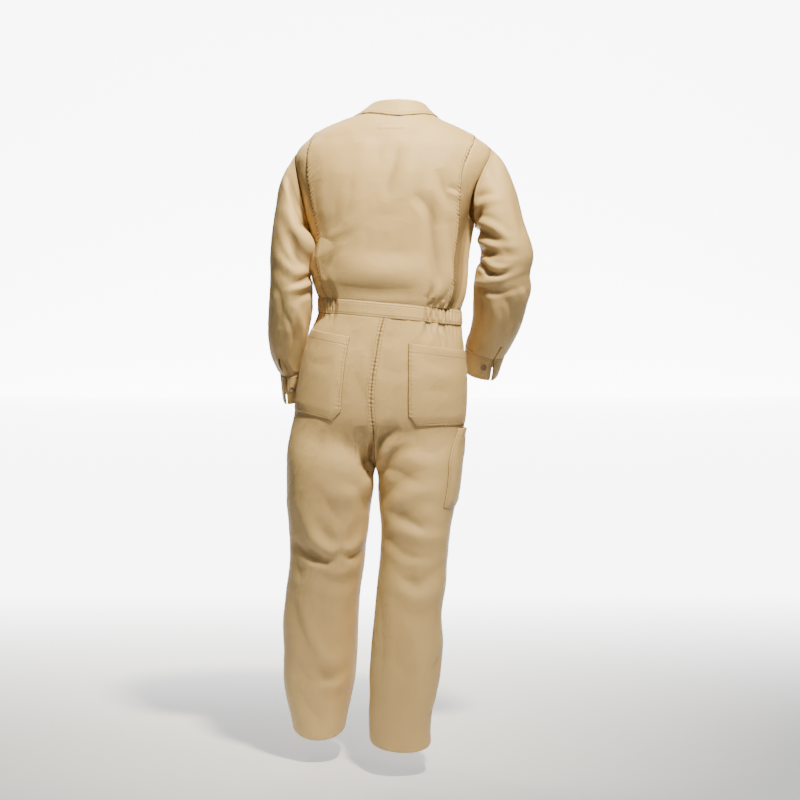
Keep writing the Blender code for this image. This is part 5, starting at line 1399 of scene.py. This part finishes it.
# A floor with a strip of paper that glows with painted light, brighter towards the glowing wall far behind.
def buildStage():
    low, high, near, far = studio["paper"]
    wall, white = studio["wall"], (0.90, 0.90, 0.90)
    paper = plainFinish("studio_paper", white, 0.9)
    tree = paper.node_tree
    shader = tree.nodes["Principled BSDF"]
    place = Value(tree, tree.nodes.new("ShaderNodeTexCoord").outputs["Object"])
    parts = place.node("ShaderNodeSeparateXYZ", i0=place)
    across, away = Value(tree, parts.outputs["X"]), studio["place"][1] - Value(tree, parts.outputs["Y"])
    share = ((away - near) / (far - near)).held()
    inside = ((away * 0.30 - across.size()) / 0.3).held()
    # Painted light: the strip of floor glows, more strongly further from the camera.
    glow = mixColor(tree, (low / high + share * share) * inside, (0.0, 0.0, 0.0), (1.0, 1.0, 1.0))
    tree.links.new(glow.socket, shader.inputs["Emission Color"])
    shader.inputs["Emission Strength"].default_value = high
    stagePaper("studio_floor", studio["floor"], paper, 0, (0, 0, -size["neckHeight"] - 0.004))
    lit = plainFinish("studio_wall_paper", white, 0.9)
    shader = lit.node_tree.nodes["Principled BSDF"]
    shader.inputs["Emission Color"].default_value = (1.0, 1.0, 1.0, 1.0)
    shader.inputs["Emission Strength"].default_value = wall["glow"]
    stagePaper("studio_wall", wall["half"], lit, 90, (0, wall["at"], wall["half"] - size["neckHeight"] - 0.02))


def buildStudio():
    camera = bpy.data.objects.new("camera", bpy.data.cameras.new("camera"))
    bpy.context.scene.collection.objects.link(camera)
    camera.data.lens = studio["lens"]
    camera.data.sensor_width = 36.0
    camera.location = studio["place"]
    camera.rotation_euler = (math.radians(90 - studio["down"]), 0, math.radians(180))
    bpy.context.scene.camera = camera
    for name, (place, aim, tint, width, spreadAngle, power) in studio["lamps"].items():
        lamp = bpy.data.lights.new(name, "AREA")
        lamp.color = tint
        lamp.size = width
        lamp.spread = math.radians(spreadAngle)
        lamp.energy = power
        held = bpy.data.objects.new(name, lamp)
        held.location = place
        held.rotation_euler = (Vector(aim) - Vector(place)).to_track_quat("-Z", "Y").to_euler()
        bpy.context.scene.collection.objects.link(held)
    world = bpy.data.worlds.new("studio")
    bpy.context.scene.world = world
    world.use_nodes = True
    tree = world.node_tree
    low, high, tint = studio["sky"]
    direction = tree.nodes.new("ShaderNodeTexCoord").outputs["Generated"]
    parts = Value(tree, tree.nodes.new("ShaderNodeSeparateXYZ").outputs["Y"])
    tree.links.new(direction, parts.socket.node.inputs[0])
    strength = low + (high - low) * ((0.15 - parts) * 1.6).held()
    tree.links.new(strength.socket, tree.nodes["Background"].inputs["Strength"])
    tree.nodes["Background"].inputs["Color"].default_value = (*tint, 1.0)


twill = makeTwill()
horn = plainFinish("button_horn", (0.30, 0.21, 0.12), 0.35)
brass = plainFinish("zip_brass", (0.62, 0.47, 0.22), 0.32, 1.0, 0.15)
zipCloth = makeTwill("zip_cloth", {**twillLook, "color": (0.50, 0.38, 0.23), "deep": (0.42, 0.31, 0.18)})
print("bodice")
buildBodice(twill)
buildFronts(twill)
print("waistband and trousers")
buildWaistband(twill)
buildTrousers(twill)
buildBackPockets(twill)
buildRulePocket(twill)
buildWelts(twill)
print("collar, sleeves and cuffs")
buildCollar(twill)
buildSleeves(twill)
buildCuffs(twill, horn)
print("zip")
buildZip(zipCloth, brass)
for node in ("zip_slider", "zip_pull"):
    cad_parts[node].data.materials.clear()
    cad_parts[node].data.materials.append(brass)
print("studio")
buildStage()
buildStudio()
